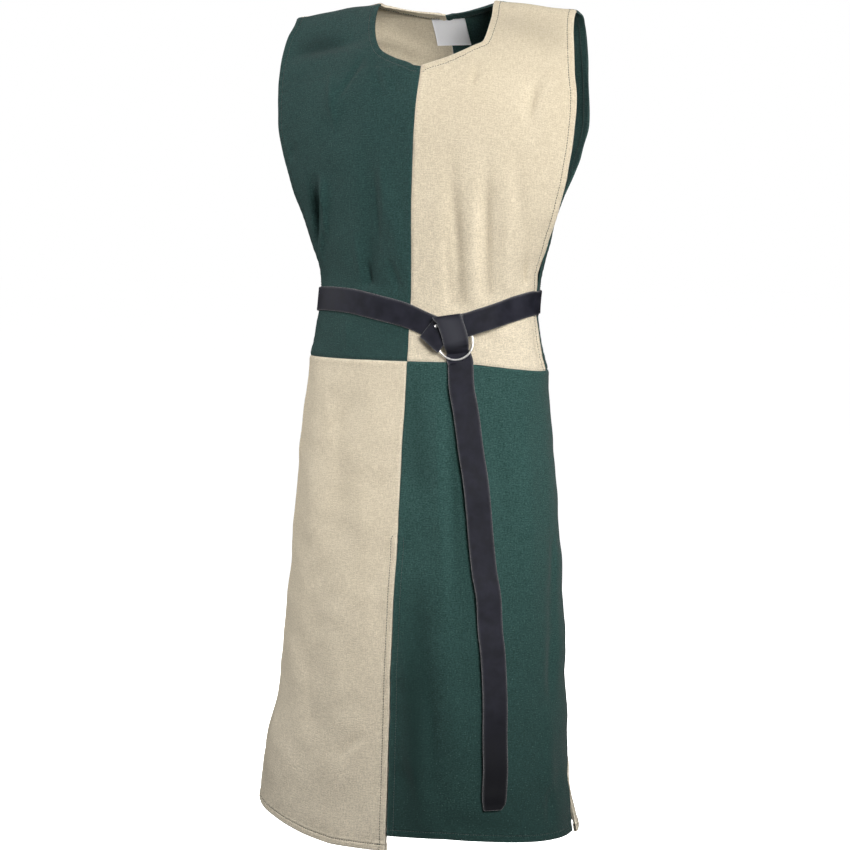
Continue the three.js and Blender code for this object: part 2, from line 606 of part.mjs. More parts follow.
const GREEN = 0x32493f;
const NATURAL = 0xdfd1b6;
const LEATHER = 0x2c2d33;
const PANELS = [
  ["front_upper_right", "front", "upper", "R", GREEN],
  ["front_upper_left", "front", "upper", "L", NATURAL],
  ["front_lower_right", "front", "lower", "R", NATURAL],
  ["front_lower_left", "front", "lower", "L", GREEN],
  ["back_upper_right", "back", "upper", "R", NATURAL],
  ["back_upper_left", "back", "upper", "L", GREEN],
  ["back_lower_right", "back", "lower", "R", GREEN],
  ["back_lower_left", "back", "lower", "L", NATURAL],
];
PANELS.forEach(([name, face, level, side, color]) => add(name, panel(face, level, side), color));
add("neck_label", neckLabel(), 0xd8d8d6, 0.8);
add("belt_waist", beltWaist(), LEATHER, 0.6);
add("belt_flap", beltFlap(), LEATHER, 0.6);
add("belt_tail", beltTail(), LEATHER, 0.6);
add("belt_ring", beltRing(), 0xc8c8c8, 0.25, 1);
add("belt_rivet", beltRivet(), 0xb4b4b4, 0.3, 1);

export default group;
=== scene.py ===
"""Quartered cotton canvas tabard with its leather ring belt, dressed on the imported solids.

Lengths inside the classes are in millimetres, in the frame of the solids: +Z up, the front
faces -Y and the wearer's left is +X. Meshes are written in metres.
"""

import logging
import math
from dataclasses import dataclass, field
from enum import Enum

import bpy
import numpy as np
from mathutils import Matrix

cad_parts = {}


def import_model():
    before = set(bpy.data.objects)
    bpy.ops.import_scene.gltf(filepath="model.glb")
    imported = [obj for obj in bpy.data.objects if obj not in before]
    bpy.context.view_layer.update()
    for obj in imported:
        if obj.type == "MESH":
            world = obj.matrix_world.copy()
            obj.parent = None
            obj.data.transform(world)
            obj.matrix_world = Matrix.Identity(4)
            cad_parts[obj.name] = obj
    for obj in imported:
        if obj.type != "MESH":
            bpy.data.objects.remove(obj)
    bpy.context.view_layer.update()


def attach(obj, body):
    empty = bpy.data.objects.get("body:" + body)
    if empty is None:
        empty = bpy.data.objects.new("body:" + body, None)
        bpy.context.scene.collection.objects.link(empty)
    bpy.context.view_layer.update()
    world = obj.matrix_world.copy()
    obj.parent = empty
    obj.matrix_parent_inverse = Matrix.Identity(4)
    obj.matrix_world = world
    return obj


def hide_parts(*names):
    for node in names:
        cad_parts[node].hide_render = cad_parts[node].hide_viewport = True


Socket = bpy.types.NodeSocket
Colour = tuple[float, float, float]
Vector = tuple[float, float, float]
LOG = logging.getLogger("tabard")
METRE = 0.001
CLOTH_WALL = 1.5
SEAM_HALF_GAP = 0.15


class Face(Enum):
    """The two faces of the garment."""

    FRONT = "front"
    BACK = "back"


class Level(Enum):
    """Above or below the waist seam."""

    UPPER = "upper"
    LOWER = "lower"


class Side(Enum):
    """The wearer's side, as the sign of x."""

    RIGHT = -1
    LEFT = 1

    @property
    def letter(self) -> str:
        """The letter that ends this side's column names."""
        return "R" if self is Side.RIGHT else "L"


def ramp(x: np.ndarray, low: float, high: float) -> np.ndarray:
    """Rises smoothly from 0 at low to 1 at high: u squared times (3 - 2u).

    Args:
        x: where to read it.
        low: where it leaves 0.
        high: where it reaches 1.

    Returns:
        The height of the ramp at each x.
    """
    u = np.clip((np.asarray(x, float) - low) / (high - low), 0.0, 1.0)
    return u * u * (3.0 - 2.0 * u)


def window(x: np.ndarray, low: float, rise: float, fall: float, high: float) -> np.ndarray:
    """0 before low, 1 from rise to fall and 0 past high, with smooth ramps between."""
    return ramp(x, low, rise) * (1 - ramp(x, fall, high))


def spread(*values: np.ndarray | float) -> list[np.ndarray]:
    """Numbers or arrays as float arrays of one shape."""
    return list(np.broadcast_arrays(*(np.asarray(value, float) for value in values)))


def unit(vectors: np.ndarray) -> np.ndarray:
    """Vectors divided by their own length."""
    return vectors / np.maximum(np.linalg.norm(vectors, axis=-1, keepdims=True), 1e-12)


class SmoothTable:
    """Named columns over one key, each read along a monotone cubic."""

    def __init__(self, names: list[str], rows: list[list[float]]) -> None:
        """Keeps the columns and works out their tangents.

        A tangent is the weighted harmonic mean of the slopes on either side, and 0 where
        they change sign, so that the curve never overshoots its points.

        Args:
            names: the column names, of which the first is the key.
            rows: one row of numbers per station.
        """
        data = np.array(rows, float)
        self.key = data[:, 0]
        self.columns = {name: data[:, k] for k, name in enumerate(names)}
        self.tangents = {name: self._tangent(data[:, k]) for k, name in enumerate(names)}

    def _tangent(self, ys: np.ndarray) -> np.ndarray:
        """Tangents of one column.

        Args:
            ys: the column.

        Returns:
            One tangent per station.
        """
        steps = np.diff(self.key)
        slopes = np.diff(ys) / steps
        tangent = np.concatenate([slopes[:1], np.zeros(len(ys) - 2), slopes[-1:]])
        before, after = slopes[:-1], slopes[1:]
        heavy = 2 * steps[1:] + steps[:-1]
        light = steps[1:] + 2 * steps[:-1]
        agree = before * after > 0
        safe_before = np.where(agree, before, 1.0)
        safe_after = np.where(agree, after, 1.0)
        mean = (heavy + light) / (heavy / safe_before + light / safe_after)
        tangent[1:-1] = np.where(agree, mean, 0.0)
        return tangent

    def read(self, name: str, at: np.ndarray) -> np.ndarray:
        """Reads a column, held flat past its ends.

        Args:
            name: the column.
            at: the key's values.

        Returns:
            The column's height at each value.
        """
        x = np.clip(np.asarray(at, float), self.key[0], self.key[-1])
        k = np.clip(np.searchsorted(self.key, x, side="right") - 1, 0, len(self.key) - 2)
        ys, tangent = self.columns[name], self.tangents[name]
        width = self.key[k + 1] - self.key[k]
        u = (x - self.key[k]) / width
        rise = ys[k] * (2 * u**3 - 3 * u**2 + 1) + ys[k + 1] * (3 * u**2 - 2 * u**3)
        bend = tangent[k] * (u**3 - 2 * u**2 + u) + tangent[k + 1] * (u**3 - u**2)
        return rise + bend * width


STATION = ["t", "xMid", "yMid", "zMid", "lift", "xR", "yR", "zR", "xL", "yL", "zL", "power", "round", "dip"]
SHAPE = {
    (Face.FRONT, Level.UPPER): SmoothTable(STATION, [
        [0.000, 0, 0, 2, 0, 208, 0, -17, 202, 0, -14, 2.2, 1.0, 0],
        [0.015, 0, -9, 0, 0, 208, -6, -19, 202, -6, -16, 2.2, 1.0, 0],
        [0.04, 0, -20, -7, 0, 209, -12, -26, 202, -13, -23, 2.2, 1.0, 0],
        [0.08, 1, -36, -23, 0, 215, -24, -45, 204, -26, -41, 2.3, 1.0, 0],
        [0.14, 3, -58, -49, 0, 219, -38, -78, 209, -42, -74, 2.4, 1.05, 0],
        [0.20, 5, -82, -76, 0, 220, -48, -110, 213, -52, -105, 2.4, 1.1, 0],
        [0.26, 6, -100, -108, 0, 219, -54, -142, 217, -56, -138, 2.4, 1.1, 0],
        [0.34, 5, -114, -155, 0, 215, -57, -184, 215, -60, -182, 2.4, 1.15, 0],
        [0.44, 3, -119, -215, 0, 202, -58, -240, 207, -62, -240, 2.4, 1.2, 0.1],
        [0.54, 2, -120, -272, 0, 183, -56, -290, 195, -60, -290, 2.3, 1.3, 0.25],
        [0.64, 2, -119, -330, 0, 166, -51, -340, 177, -52, -340, 2.2, 1.5, 0.5],
        [0.74, 2, -117, -385, 0, 154, -45, -387, 162, -44, -387, 2.1, 1.8, 0.8],
        [0.82, 0, -119, -426, 0, 157, -39, -423, 159, -37, -427, 2.0, 2.0, 1.0],
        [0.90, 0, -123, -461, 0, 164, -37, -460, 164, -36, -469, 2.0, 2.0, 0.6],
        [1.00, 0, -128, -497, 0, 172, -35, -497, 174, -35, -511, 2.0, 2.0, 0],
    ]),
    (Face.FRONT, Level.LOWER): SmoothTable(STATION, [
        [0.00, 0, -128, -497, 0, 172, -35, -497, 174, -35, -511, 2, 2, 0],
        [0.08, 0, -137, -556, 0, 180, -30, -553, 176, -30, -564, 2, 2, 0],
        [0.17, -1, -146, -619, 0, 187, -29, -615, 182, -29, -624, 2, 2, 0],
        [0.35, -2, -159, -742, 1, 196, -31, -735, 193, -31, -745, 2, 2, 0],
        [0.55, -3, -176, -878, 5, 205, -36, -864, 203, -36, -879, 2, 2, 0],
        [0.75, -3, -188, -1007, 13, 218, -42, -988, 210, -42, -1006, 2, 2, 0],
        [0.88, -3, -194, -1090, 18, 237, -46, -1066, 216, -46, -1087, 2, 2, 0],
        [1.00, -3, -199, -1167, 22, 243, -48, -1139, 226, -48, -1159, 2, 2, 0],
    ]),
    (Face.BACK, Level.UPPER): SmoothTable(STATION, [
        [0.00, 0, 0, 2, 0, 208, 0, -17, 202, 0, -14, 2.2, 1.0, 0],
        [0.02, 0, 12, 0, 0, 208, 7, -19, 204, 7, -16, 2.2, 1.0, 0],
        [0.05, 0, 28, -4, 0, 211, 16, -26, 208, 16, -22, 2.2, 1.0, 0],
        [0.09, 0, 45, -13, 0, 210, 27, -41, 209, 27, -37, 2.3, 1.0, 0],
        [0.13, 0, 61, -30, 0, 209, 37, -61, 209, 37, -58, 2.3, 1.0, 0],
        [0.18, 0, 78, -52, 0, 207, 46, -88, 209, 46, -85, 2.4, 1.05, 0],
        [0.24, 0, 92, -82, 0, 206, 54, -120, 209, 54, -118, 2.4, 1.1, 0],
        [0.32, 0, 102, -130, 0, 202, 60, -165, 208, 60, -165, 2.4, 1.15, 0],
        [0.42, 0, 103, -188, 0, 189, 58, -215, 197, 58, -215, 2.4, 1.2, 0],
        [0.54, 0, 95, -258, 0, 169, 44, -275, 176, 42, -275, 2.3, 1.3, 0],
        [0.66, 0, 82, -328, 0, 156, 18, -338, 163, 14, -338, 2.2, 1.5, 0],
        [0.74, 0, 75, -374, 0, 154, -10, -378, 160, -12, -378, 2.1, 1.8, 0],
        [0.82, 0, 69, -417, 0, 157, -37.6, -423, 159, -35.6, -427, 2.0, 2.0, 0],
        [0.90, 0, 72, -459, 0, 164, -36.3, -460, 164, -35.3, -469, 2.0, 2.0, 0],
        [1.00, 0, 80, -505, 0, 172, -35, -497, 174, -35, -511, 2.0, 2.0, 0],
    ]),
    (Face.BACK, Level.LOWER): SmoothTable(STATION, [
        [0.00, 0, 80, -505, 0, 172, -35, -497, 174, -35, -511, 2, 2, 0],
        [0.08, 0, 90, -562, 0, 180, -30, -553, 176, -30, -564, 2, 2, 0],
        [0.17, 0, 97, -622, 0, 187, -29, -615, 182, -29, -624, 2, 2, 0],
        [0.35, 0, 100, -742, 0, 196, -31, -735, 193, -31, -745, 2, 2, 0],
        [0.55, 0, 100, -874, 0, 205, -36, -864, 203, -36, -879, 2, 2, 0],
        [0.75, 0, 98, -1000, 0, 218, -42, -988, 210, -42, -1006, 2, 2, 0],
        [0.88, 0, 97, -1080, 0, 237, -46, -1066, 216, -46, -1087, 2, 2, 0],
        [1.00, 0, 97, -1152, 0, 243, -48, -1139, 226, -48, -1159, 2, 2, 0],
    ]),
}
NECK = {
    Face.FRONT: SmoothTable(["t", "R", "L"], [
        [0, 83, 85], [0.04, 82, 87], [0.08, 80, 89], [0.13, 74, 88], [0.16, 67, 86],
        [0.185, 58, 68], [0.21, 34, 42], [0.225, 12, 18], [0.237, 0, 0],
    ]),
    Face.BACK: SmoothTable(["t", "R", "L"], [
        [0, 83, 85], [0.02, 80, 81], [0.04, 68, 69], [0.06, 48, 48], [0.075, 26, 26], [0.085, 0, 0],
    ]),
}
NECK_CURVE = {Face.FRONT: (0.14, 0.275), Face.BACK: (0.0, 0.125)}
SAG = SmoothTable(["x", "share"], [
    [-160, 0], [-120, 0.06], [-60, 0.2], [-10, 0.42], [30, 0.78], [55, 0.97], [65, 1], [75, 0.95],
    [95, 0.72], [120, 0.45], [140, 0.25], [158, 0],
])
BELT_LEVEL = {
    Face.FRONT: SmoothTable(["s", "t"], [
        [-1, 0.808], [-0.42, 0.794], [-0.16, 0.801], [0.06, 0.805], [0.18, 0.808], [0.287, 0.791],
        [0.46, 0.795], [0.63, 0.795], [0.86, 0.799], [1, 0.802],
    ]),
    Face.BACK: SmoothTable(["s", "t"], [
        [-1, 0.808], [-0.5, 0.816], [0, 0.820], [0.5, 0.813], [1, 0.802],
    ]),
}
# Folds run from (s0, v0) to (s1, v1): s is the signed share of the half width, v is 0 to 1 above
# the waist seam and 1 to 2 below it. Then come the reach to either side and the height outwards.
# FOLDS are in the solids too and CREASES are not. In the last table the height is how much painted shade and
# shadow darken the cloth.
FOLDS = {
    Face.FRONT: np.array([
        [-0.652, 0.469, -0.676, 0.570, 7, 6], [-0.676, 0.560, -0.860, 0.709, 7, 5],
        [-0.745, 0.454, -0.873, 0.646, 8, -6], [-0.946, 0.137, -0.386, 0.154, 11, -3],
        [-0.611, 0.230, -0.520, 0.354, 15, 3], [-0.297, 0.400, -0.293, 0.920, 12, -5],
        [-0.210, 0.463, -0.020, 0.760, 13, 4.5], [0.242, 0.395, 0.300, 0.930, 11, -6],
        [0.380, 0.410, 0.400, 0.930, 11, 4], [0.467, 0.407, 0.467, 0.920, 10, -5],
        [0.598, 0.453, 0.650, 0.920, 11, 3.5], [0.724, 0.222, 0.689, 0.365, 11, -3],
        [-0.333, 0.97, -0.306, 1.450, 20, -3.5], [-0.566, 1.00, -0.434, 1.550, 24, 3.5],
        [-0.460, 1.30, -0.343, 1.950, 22, -3.5], [-0.800, 1.60, -0.860, 1.990, 20, -6],
        [0.159, 1.00, 0.228, 1.551, 16, 4.5], [0.250, 1.12, 0.303, 1.728, 13, -4],
        [0.007, 1.36, 0.161, 1.990, 13, 5], [0.070, 1.38, 0.227, 1.880, 13, -5],
        [0.511, 1.10, 0.534, 1.400, 14, -4.5], [0.682, 1.02, 0.652, 1.560, 18, 4.5],
        [0.900, 1.32, 0.813, 1.720, 15, -4.5], [0.788, 1.70, 0.767, 1.950, 16, 4],
    ]),
    Face.BACK: np.array([
        [-0.610, 0.440, -0.560, 0.770, 11, -6], [-0.420, 0.380, -0.400, 0.775, 12, 4],
        [-0.200, 0.470, -0.230, 0.775, 10, -5], [0.150, 0.500, 0.180, 0.775, 11, 4],
        [0.380, 0.420, 0.340, 0.775, 11, -6], [0.620, 0.400, 0.590, 0.775, 12, 4],
        [-0.640, 0.120, -0.200, 0.200, 14, -3], [0.650, 0.130, 0.220, 0.190, 14, -3],
        [-0.560, 0.98, -0.480, 1.520, 12, -6], [-0.260, 1.00, -0.250, 1.600, 13, 5],
        [-0.120, 1.30, -0.080, 1.990, 12, -5], [0.240, 1.00, 0.300, 1.450, 11, -6],
        [0.440, 1.05, 0.420, 1.800, 14, 5], [0.660, 1.30, 0.640, 1.990, 13, -5],
        [-0.760, 1.45, -0.780, 1.990, 14, 5],
    ]),
}
# Painted shade: patches that the light leaves darker, and the belt tail's shadow, stored as a mark on the
# cloth.
PAINTED_SHADE = {
    Face.FRONT: np.array([
        [-0.95, 0.11, -0.5, 0.15, 18, 0.55], [0.3, 0.08, 1.1, 0.12, 30, 0.3],
        [-0.30, 0.6, -0.22, 0.85, 10, 0.25], [0.10, 1.4, 0.12, 2.1, 18, 0.8],
        [0.02, 1.0, 0.14, 1.3, 14, 0.32], [0.1, 1.95, 0.6, 1.96, 11, 0.3],
        [-0.95, 1.80, -0.6, 1.96, 21, 0.28],
    ]),
    Face.BACK: np.zeros((0, 6)),
}
CREASES = {
    Face.FRONT: np.array([
        [0.25, 1.45, 0.29, 1.92, 12, 2.6], [0.20, 1.62, 0.20, 1.90, 8, 1.2],
        [-0.287, 0.214, -0.106, 0.298, 7, -3], [-0.144, 0.673, -0.069, 0.758, 5, -3.5],
        [-0.844, 0.374, -0.937, 0.415, 8, -3], [-0.690, 0.454, -0.873, 0.646, 6, -6],
        [0.213, 0.578, 0.229, 0.760, 5, -2.0], [0.615, 0.445, 0.788, 0.654, 8, -1.5],
        [0.805, 0.671, 0.830, 0.767, 5, -3.5], [0.345, 0.221, 0.336, 0.290, 6, -2.2],
        [-0.103, 1.750, -0.241, 1.814, 6, -2.2], [-0.900, 1.770, -0.950, 1.970, 11, -6],
        [0.945, 1.333, 0.882, 1.454, 9, -3], [0.851, 1.540, 0.813, 1.700, 10, -3.5],
        [0.771, 1.874, 0.755, 1.970, 9, -4],
        [-0.661, 0.471, -0.701, 0.638, 4.5, 4.2], [-0.358, 0.198, -0.529, 0.312, 6, -3.6],
        [-0.594, 0.219, -0.514, 0.384, 6, 3.2], [-0.322, 0.208, -0.2, 0.316, 6, -3.0],
        [-0.284, 0.222, -0.131, 0.298, 7, 2.0], [-0.21, 0.428, -0.177, 0.615, 6, 2.4],
        [-0.259, 0.463, -0.226, 0.686, 6, -4.0], [-0.436, 0.601, -0.334, 0.76, 6, 2.6],
        [-0.332, 0.68, -0.283, 0.768, 4, -4.6], [-0.43, 0.847, -0.346, 0.971, 6, 1.5],
        [0.274, 0.5, 0.321, 0.761, 6, -2.8], [0.463, 0.453, 0.497, 0.735, 7, -1.3],
        [0.379, 0.51, 0.404, 0.732, 7, 1.0], [0.583, 0.447, 0.676, 0.731, 8, 1.1],
        [0.793, 0.205, 0.668, 0.332, 9, -2.8], [0.625, 0.411, 0.765, 0.587, 8, -1.2],
        [0.769, 0.563, 0.831, 0.764, 7, -2.2], [0.372, 0.23, 0.324, 0.29, 5, -1.6],
        [0.454, 0.179, 0.408, 0.277, 5, 1.5], [0.916, 0.851, 0.897, 0.97, 6, -2.2],
        [-0.385, 1.07, -0.345, 1.238, 8, -1.8], [-0.53, 1.029, -0.414, 1.17, 7, 1.5],
        [-0.468, 1.582, -0.387, 1.806, 6, -1.6], [0.16, 1.024, 0.237, 1.551, 5, 3.2],
        [0.228, 1.033, 0.26, 1.467, 6, -3.8], [0.524, 1.053, 0.57, 1.385, 9, 2.0],
        [0.171, 1.663, 0.186, 1.917, 9, -4.4], [0.068, 1.767, 0.154, 1.94, 7, 3.2],
        [-0.169, 1.769, -0.218, 1.807, 4, 1.2], [-0.116, 1.391, -0.035, 1.57, 7, -1.5],
    ]),
    Face.BACK: np.array([
        [-0.310, 0.600, -0.330, 0.765, 6, -3], [0.060, 0.640, 0.050, 0.768, 5, -2.5],
        [0.480, 0.560, 0.500, 0.765, 6, -3], [0.760, 0.600, 0.740, 0.760, 6, -2.5],
        [-0.800, 0.620, -0.790, 0.765, 6, 3], [0.250, 0.160, 0.120, 0.260, 8, -2.2],
        [-0.640, 1.580, -0.600, 1.930, 9, -3], [0.100, 1.420, 0.140, 1.900, 9, 3],
        [0.860, 1.500, 0.840, 1.980, 10, -3.5], [-0.400, 1.100, -0.350, 1.450, 9, 3],
        [-0.900, 1.650, -0.920, 1.960, 10, -4], [0.500, 1.620, 0.520, 1.960, 8, -2.5],
    ]),
}


@dataclass(frozen=True)
class ClothForm:
    """The outer face of the cloth as a function of a face, a level and (s, t).

    s runs from -1 at the wearer's right edge to 1 at the left edge, t from 0 at a level's top
    to 1 at its foot.
    """

    sag_depth: float = -40.0
    slit_start: float = 0.89
    slit_back_out_left: float = 3.8
    slit_back_out_right: float = 2.5
    slit_front_in: float = 1.5
    centre_slit_start: float = 0.38
    centre_slit_open: float = 1.4
    upper_length: float = 510.0
    lower_length: float = 670.0
    arc_per_half_width: float = 1.25
    fold_level_length: float = 600.0
    belt_core: float = 19.0
    belt_edge: float = 34.0
    step: float = 0.004
    seam_turn: float = 0.17
    seam_turn_from: float = 0.80
    seam_turn_to: float = 0.88
    neck_rounds: int = 6
    probe: float = 0.01
    edge_fade: float = 0.75
    edge_fade_from: float = 0.9
    shoulder_fade: float = 0.08
    fall_from: float = 0.35
    fall_power: float = 1.25
    slit_power: float = 1.5

    @property
    def upper_to_lower(self) -> float:
        """How a step above the waist seam compares with one below it."""
        return self.upper_length / self.lower_length

    def station(self, face: Face, level: Level, s: np.ndarray, t: np.ndarray) -> np.ndarray:
        """A point of the plain form, without folds.

        The cross-section is a superellipse between the centre line and the side edge. Its
        height falls from the centre line's to the edge's by a power of the share past a
        start, and the belt's sag is taken off by the level's dip.

        Args:
            face: front or back.
            level: above or below the waist seam.
            s: signed share of the half width.
            t: share of the level's height.

        Returns:
            Points, with x, y, z along the last axis.
        """
        source = SHAPE[face, level]
        s, t = spread(s, t)
        right = s < 0
        share = np.minimum(np.abs(s), 1.0)
        edge = {a: np.where(right, source.read(a + "R", t), source.read(a + "L", t)) for a in "xyz"}
        roundness = source.read("round", t)
        curl = np.clip(roundness - 1, 0, 1)
        w = (1 - curl) * share + curl * np.sin(share * np.pi / 2)
        bulge = np.maximum(1 - w ** source.read("power", t), 0) ** (1 / roundness)
        if level is Level.LOWER:
            opened = np.clip((t - self.slit_start) / (1 - self.slit_start), 0, 1) ** self.slit_power
            behind = np.where(right, self.slit_back_out_right, self.slit_back_out_left)
            edge["x"] = edge["x"] + opened * (behind if face is Face.BACK else -self.slit_front_in)
        x = edge["x"] * w * np.where(right, -1, 1) + source.read("xMid", t) * (1 - w * w)
        y = edge["y"] + (source.read("yMid", t) - edge["y"]) * bulge
        middle = source.read("zMid", t) + np.where(right, 0, source.read("lift", t))
        fall = np.maximum(0, (w - self.fall_from) / (1 - self.fall_from)) ** self.fall_power
        sag = self.sag_depth * source.read("dip", t) * SAG.read("share", x)
        z = middle + (edge["z"] - middle) * fall + sag
        return np.stack([x, y, z], axis=-1)

    def surface(self, face: Face, level: Level, s: np.ndarray, t: np.ndarray) -> np.ndarray:
        """The plain form, carried on past a panel's edge into its neighbour.

        Args:
            face: front or back.
            level: above or below the waist seam.
            s: signed share of the half width, past 1 on a skirt for the other face.
            t: share of the height, below 0 and above 1 for the neighbour.

        Returns:
            Points of the neighbour where the edge is passed, and the panel's own elsewhere.
        """
        s, t = spread(s, t)
        other = Face.BACK if face is Face.FRONT else Face.FRONT
        own = self.station(face, level, s, np.clip(t, 0, 1))
        above, below, beside = (t < 0)[..., None], (t > 1)[..., None], (np.abs(s) > 1)[..., None]
        if level is Level.UPPER:
            own = np.where(above, self.station(other, level, s, -t), own)
            return np.where(below, self.station(face, Level.LOWER, s, (t - 1) * self.upper_to_lower), own)
        turned = self.station(other, level, np.sign(s) * (2 - np.abs(s)), np.clip(t, 0, 1))
        own = np.where(beside, turned, own)
        return np.where(above, self.station(face, Level.UPPER, s, 1 + t / self.upper_to_lower), own)

    def outward(self, face: Face, level: Level, s: np.ndarray, t: np.ndarray) -> np.ndarray:
        """Unit normals, from the cross product of the central differences across and down.

        Args:
            face: front or back.
            level: above or below the waist seam.
            s: signed share of the half width.
            t: share of the level's height.

        Returns:
            Unit vectors that point away from the wearer.
        """
        reach = 1.0 if level is Level.UPPER else 2.0
        foot = 2.0 if level is Level.UPPER else 1.0
        first, last = np.maximum(s - self.step, -reach), np.minimum(s + self.step, reach)
        across = self.surface(face, level, last, t) - self.surface(face, level, first, t)
        lower = self.surface(face, level, s, np.minimum(t + self.step, foot))
        down = lower - self.surface(face, level, s, t - self.step)
        normal = unit(np.cross(across, down))
        return -normal if face is Face.FRONT else normal

    def belt_hold(self, face: Face, s: np.ndarray, t: np.ndarray) -> np.ndarray:
        """0 where the belt holds the cloth flat, 1 away from it.

        Args:
            face: front or back.
            s: signed share of the half width.
            t: share of the height above the waist seam.

        Returns:
            A ramp over the height to the belt's line.
        """
        line = BELT_LEVEL[face].read("t", s)
        drop = self.station(face, Level.UPPER, s, t) - self.station(face, Level.UPPER, s, line)
        return ramp(np.abs(drop[..., 2]), self.belt_core, self.belt_edge)

    def relief(self, rows: np.ndarray, face: Face, level: Level, s: np.ndarray, t: np.ndarray) -> np.ndarray:
        """Height of folds: along each, half a sine; across it, a bell curve.

        Args:
            rows: the folds.
            face: front or back.
            level: above or below the waist seam.
            s: signed share of the half width.
            t: share of the level's height.

        Returns:
            Millimetres outwards, faded at the side edges, the shoulder and the belt.
        """
        s, t = spread(s, t)
        v = t if level is Level.UPPER else 1 + t
        half = SHAPE[face, level].read("xR", t) * self.arc_per_half_width
        out = np.zeros(s.shape)
        for s0, v0, s1, v1, width, height in rows:
            ds, dv = (s1 - s0) * half, (v1 - v0) * self.fold_level_length
            ps, pv = (s - s0) * half, (v - v0) * self.fold_level_length
            length = np.hypot(ds, dv)
            along = (ps * ds + pv * dv) / length**2
            off = (ps * dv - pv * ds) / length
            fade = np.sin(np.pi * np.clip(along, 0, 1))
            out += height * fade * bell(off, width)
        out *= 1 - self.edge_fade * ramp(np.abs(s), self.edge_fade_from, 1)
        if level is Level.UPPER:
            out *= ramp(t, 0, self.shoulder_fade) * self.belt_hold(face, s, t)
        return out

    def point(self, face: Face, level: Level, s: np.ndarray, t: np.ndarray, out: np.ndarray) -> np.ndarray:
        """A point of the cloth with its large folds, moved outwards.

        Args:
            face: front or back.
            level: above or below the waist seam.
            s: signed share of the half width.
            t: share of the level's height.
            out: millimetres outwards.

        Returns:
            Points, with x, y, z along the last axis.
        """
        lift = out + self.relief(FOLDS[face], face, level, s, t)
        return self.surface(face, level, s, t) + self.outward(face, level, s, t) * lift[..., None]

    def at(self, face: Face, s: np.ndarray, v: np.ndarray, out: np.ndarray) -> np.ndarray:
        """The same, with v running through both levels.

        Args:
            face: front or back.
            s: signed share of the half width.
            v: 0 to 1 above the waist seam and 1 to 2 below it.
            out: millimetres outwards.

        Returns:
            Points, with x, y, z along the last axis.
        """
        s, v, out = spread(s, v, out)
        upper = self.point(face, Level.UPPER, s, np.minimum(v, 1.0), out)
        lower = self.point(face, Level.LOWER, s, np.maximum(v - 1.0, 0.0), out)
        return np.where((v <= 1)[..., None], upper, lower)

    def normal_at(self, face: Face, s: np.ndarray, v: np.ndarray) -> np.ndarray:
        """Outward unit vectors, with v running through both levels.

        Args:
            face: front or back.
            s: signed share of the half width.
            v: 0 to 1 above the waist seam and 1 to 2 below it.

        Returns:
            Unit vectors that point away from the wearer.
        """
        s, v = spread(s, v)
        upper = self.outward(face, Level.UPPER, s, np.minimum(v, 1.0))
        lower = self.outward(face, Level.LOWER, s, np.maximum(v - 1.0, 0.0))
        return np.where((v <= 1)[..., None], upper, lower)

    def outer_share(self, face: Face, level: Level, side: Side, t: np.ndarray) -> np.ndarray:
        """Where a panel ends: half a seam gap from its side seam.

        The skirt's seam on the wearer's left stands behind the side and comes back to it above
        the slit.

        Args:
            face: front or back.
            level: above or below the waist seam.
            side: the wearer's side.
            t: share of the level's height.

        Returns:
            The share of the half width.
        """
        near = self.surface(face, level, np.full_like(t, side.value * (1 - self.probe)), t)
        edge = self.surface(face, level, np.full_like(t, float(side.value)), t)
        gap = SEAM_HALF_GAP / (np.linalg.norm(near - edge, axis=-1) / self.probe)
        if level is Level.UPPER or side is Side.RIGHT:
            return 1 - gap
        turn = self.seam_turn * (1 - ramp(t, self.seam_turn_from, self.seam_turn_to))
        return 1 - gap + (turn if face is Face.FRONT else -turn)

    def inner_share(self, face: Face, level: Level, side: Side, t: np.ndarray) -> np.ndarray:
        """Where a panel starts: at the neck edge, or half a seam gap from the centre line.

        Args:
            face: front or back.
            level: above or below the waist seam.
            side: the wearer's side.
            t: share of the level's height.

        Returns:
            The share of the half width, always positive.
        """
        near = self.surface(face, level, np.full_like(t, side.value * 2 * self.probe), t)
        centre = self.surface(face, level, np.zeros_like(t), t)
        per_share = np.linalg.norm(near - centre, axis=-1) / (2 * self.probe)
        if level is Level.LOWER:
            return (SEAM_HALF_GAP + self.centre_slit_open * ramp(t, self.centre_slit_start, 1)) / per_share
        seam = SEAM_HALF_GAP / per_share
        neck = NECK[face]
        target = neck.read(side.letter, t)
        share = target / SHAPE[face, level].read("x" + side.letter, t)
        for _ in range(self.neck_rounds):
            reached = np.abs(self.station(face, level, side.value * share, t)[..., 0])
            share = share + (target - reached) / per_share
        return np.where(t >= neck.key[-1], seam, np.maximum(share, seam))


FORM = ClothForm()


def grid_faces(rows: int, columns: int, start: int, flip: bool) -> np.ndarray:
    """Four-cornered faces of a grid whose vertices are numbered row by row.

    Args:
        rows: how many rows of vertices.
        columns: how many columns.
        start: the number of the first vertex.
        flip: turns the faces round.

    Returns:
        One row of four vertex numbers per face.
    """
    i, j = np.meshgrid(np.arange(rows - 1), np.arange(columns - 1), indexing="ij")
    a = (start + i * columns + j).ravel()
    faces = np.stack([a, a + columns, a + columns + 1, a + 1], axis=1)
    return faces[:, ::-1] if flip else faces


def ring_faces(rings: int, around: int, closed: bool) -> np.ndarray:
    """Faces of a tube of rings of vertices.

    Args:
        rings: how many rings.
        around: how many vertices each ring has.
        closed: joins the last ring to the first.

    Returns:
        One row of four vertex numbers per face.
    """
    i, j = np.meshgrid(np.arange(rings if closed else rings - 1), np.arange(around), indexing="ij")
    corners = [(i, j), (i + 1, j), (i + 1, j + 1), (i, j + 1)]
    return np.stack([(a % rings * around + b % around).ravel() for a, b in corners], axis=1)


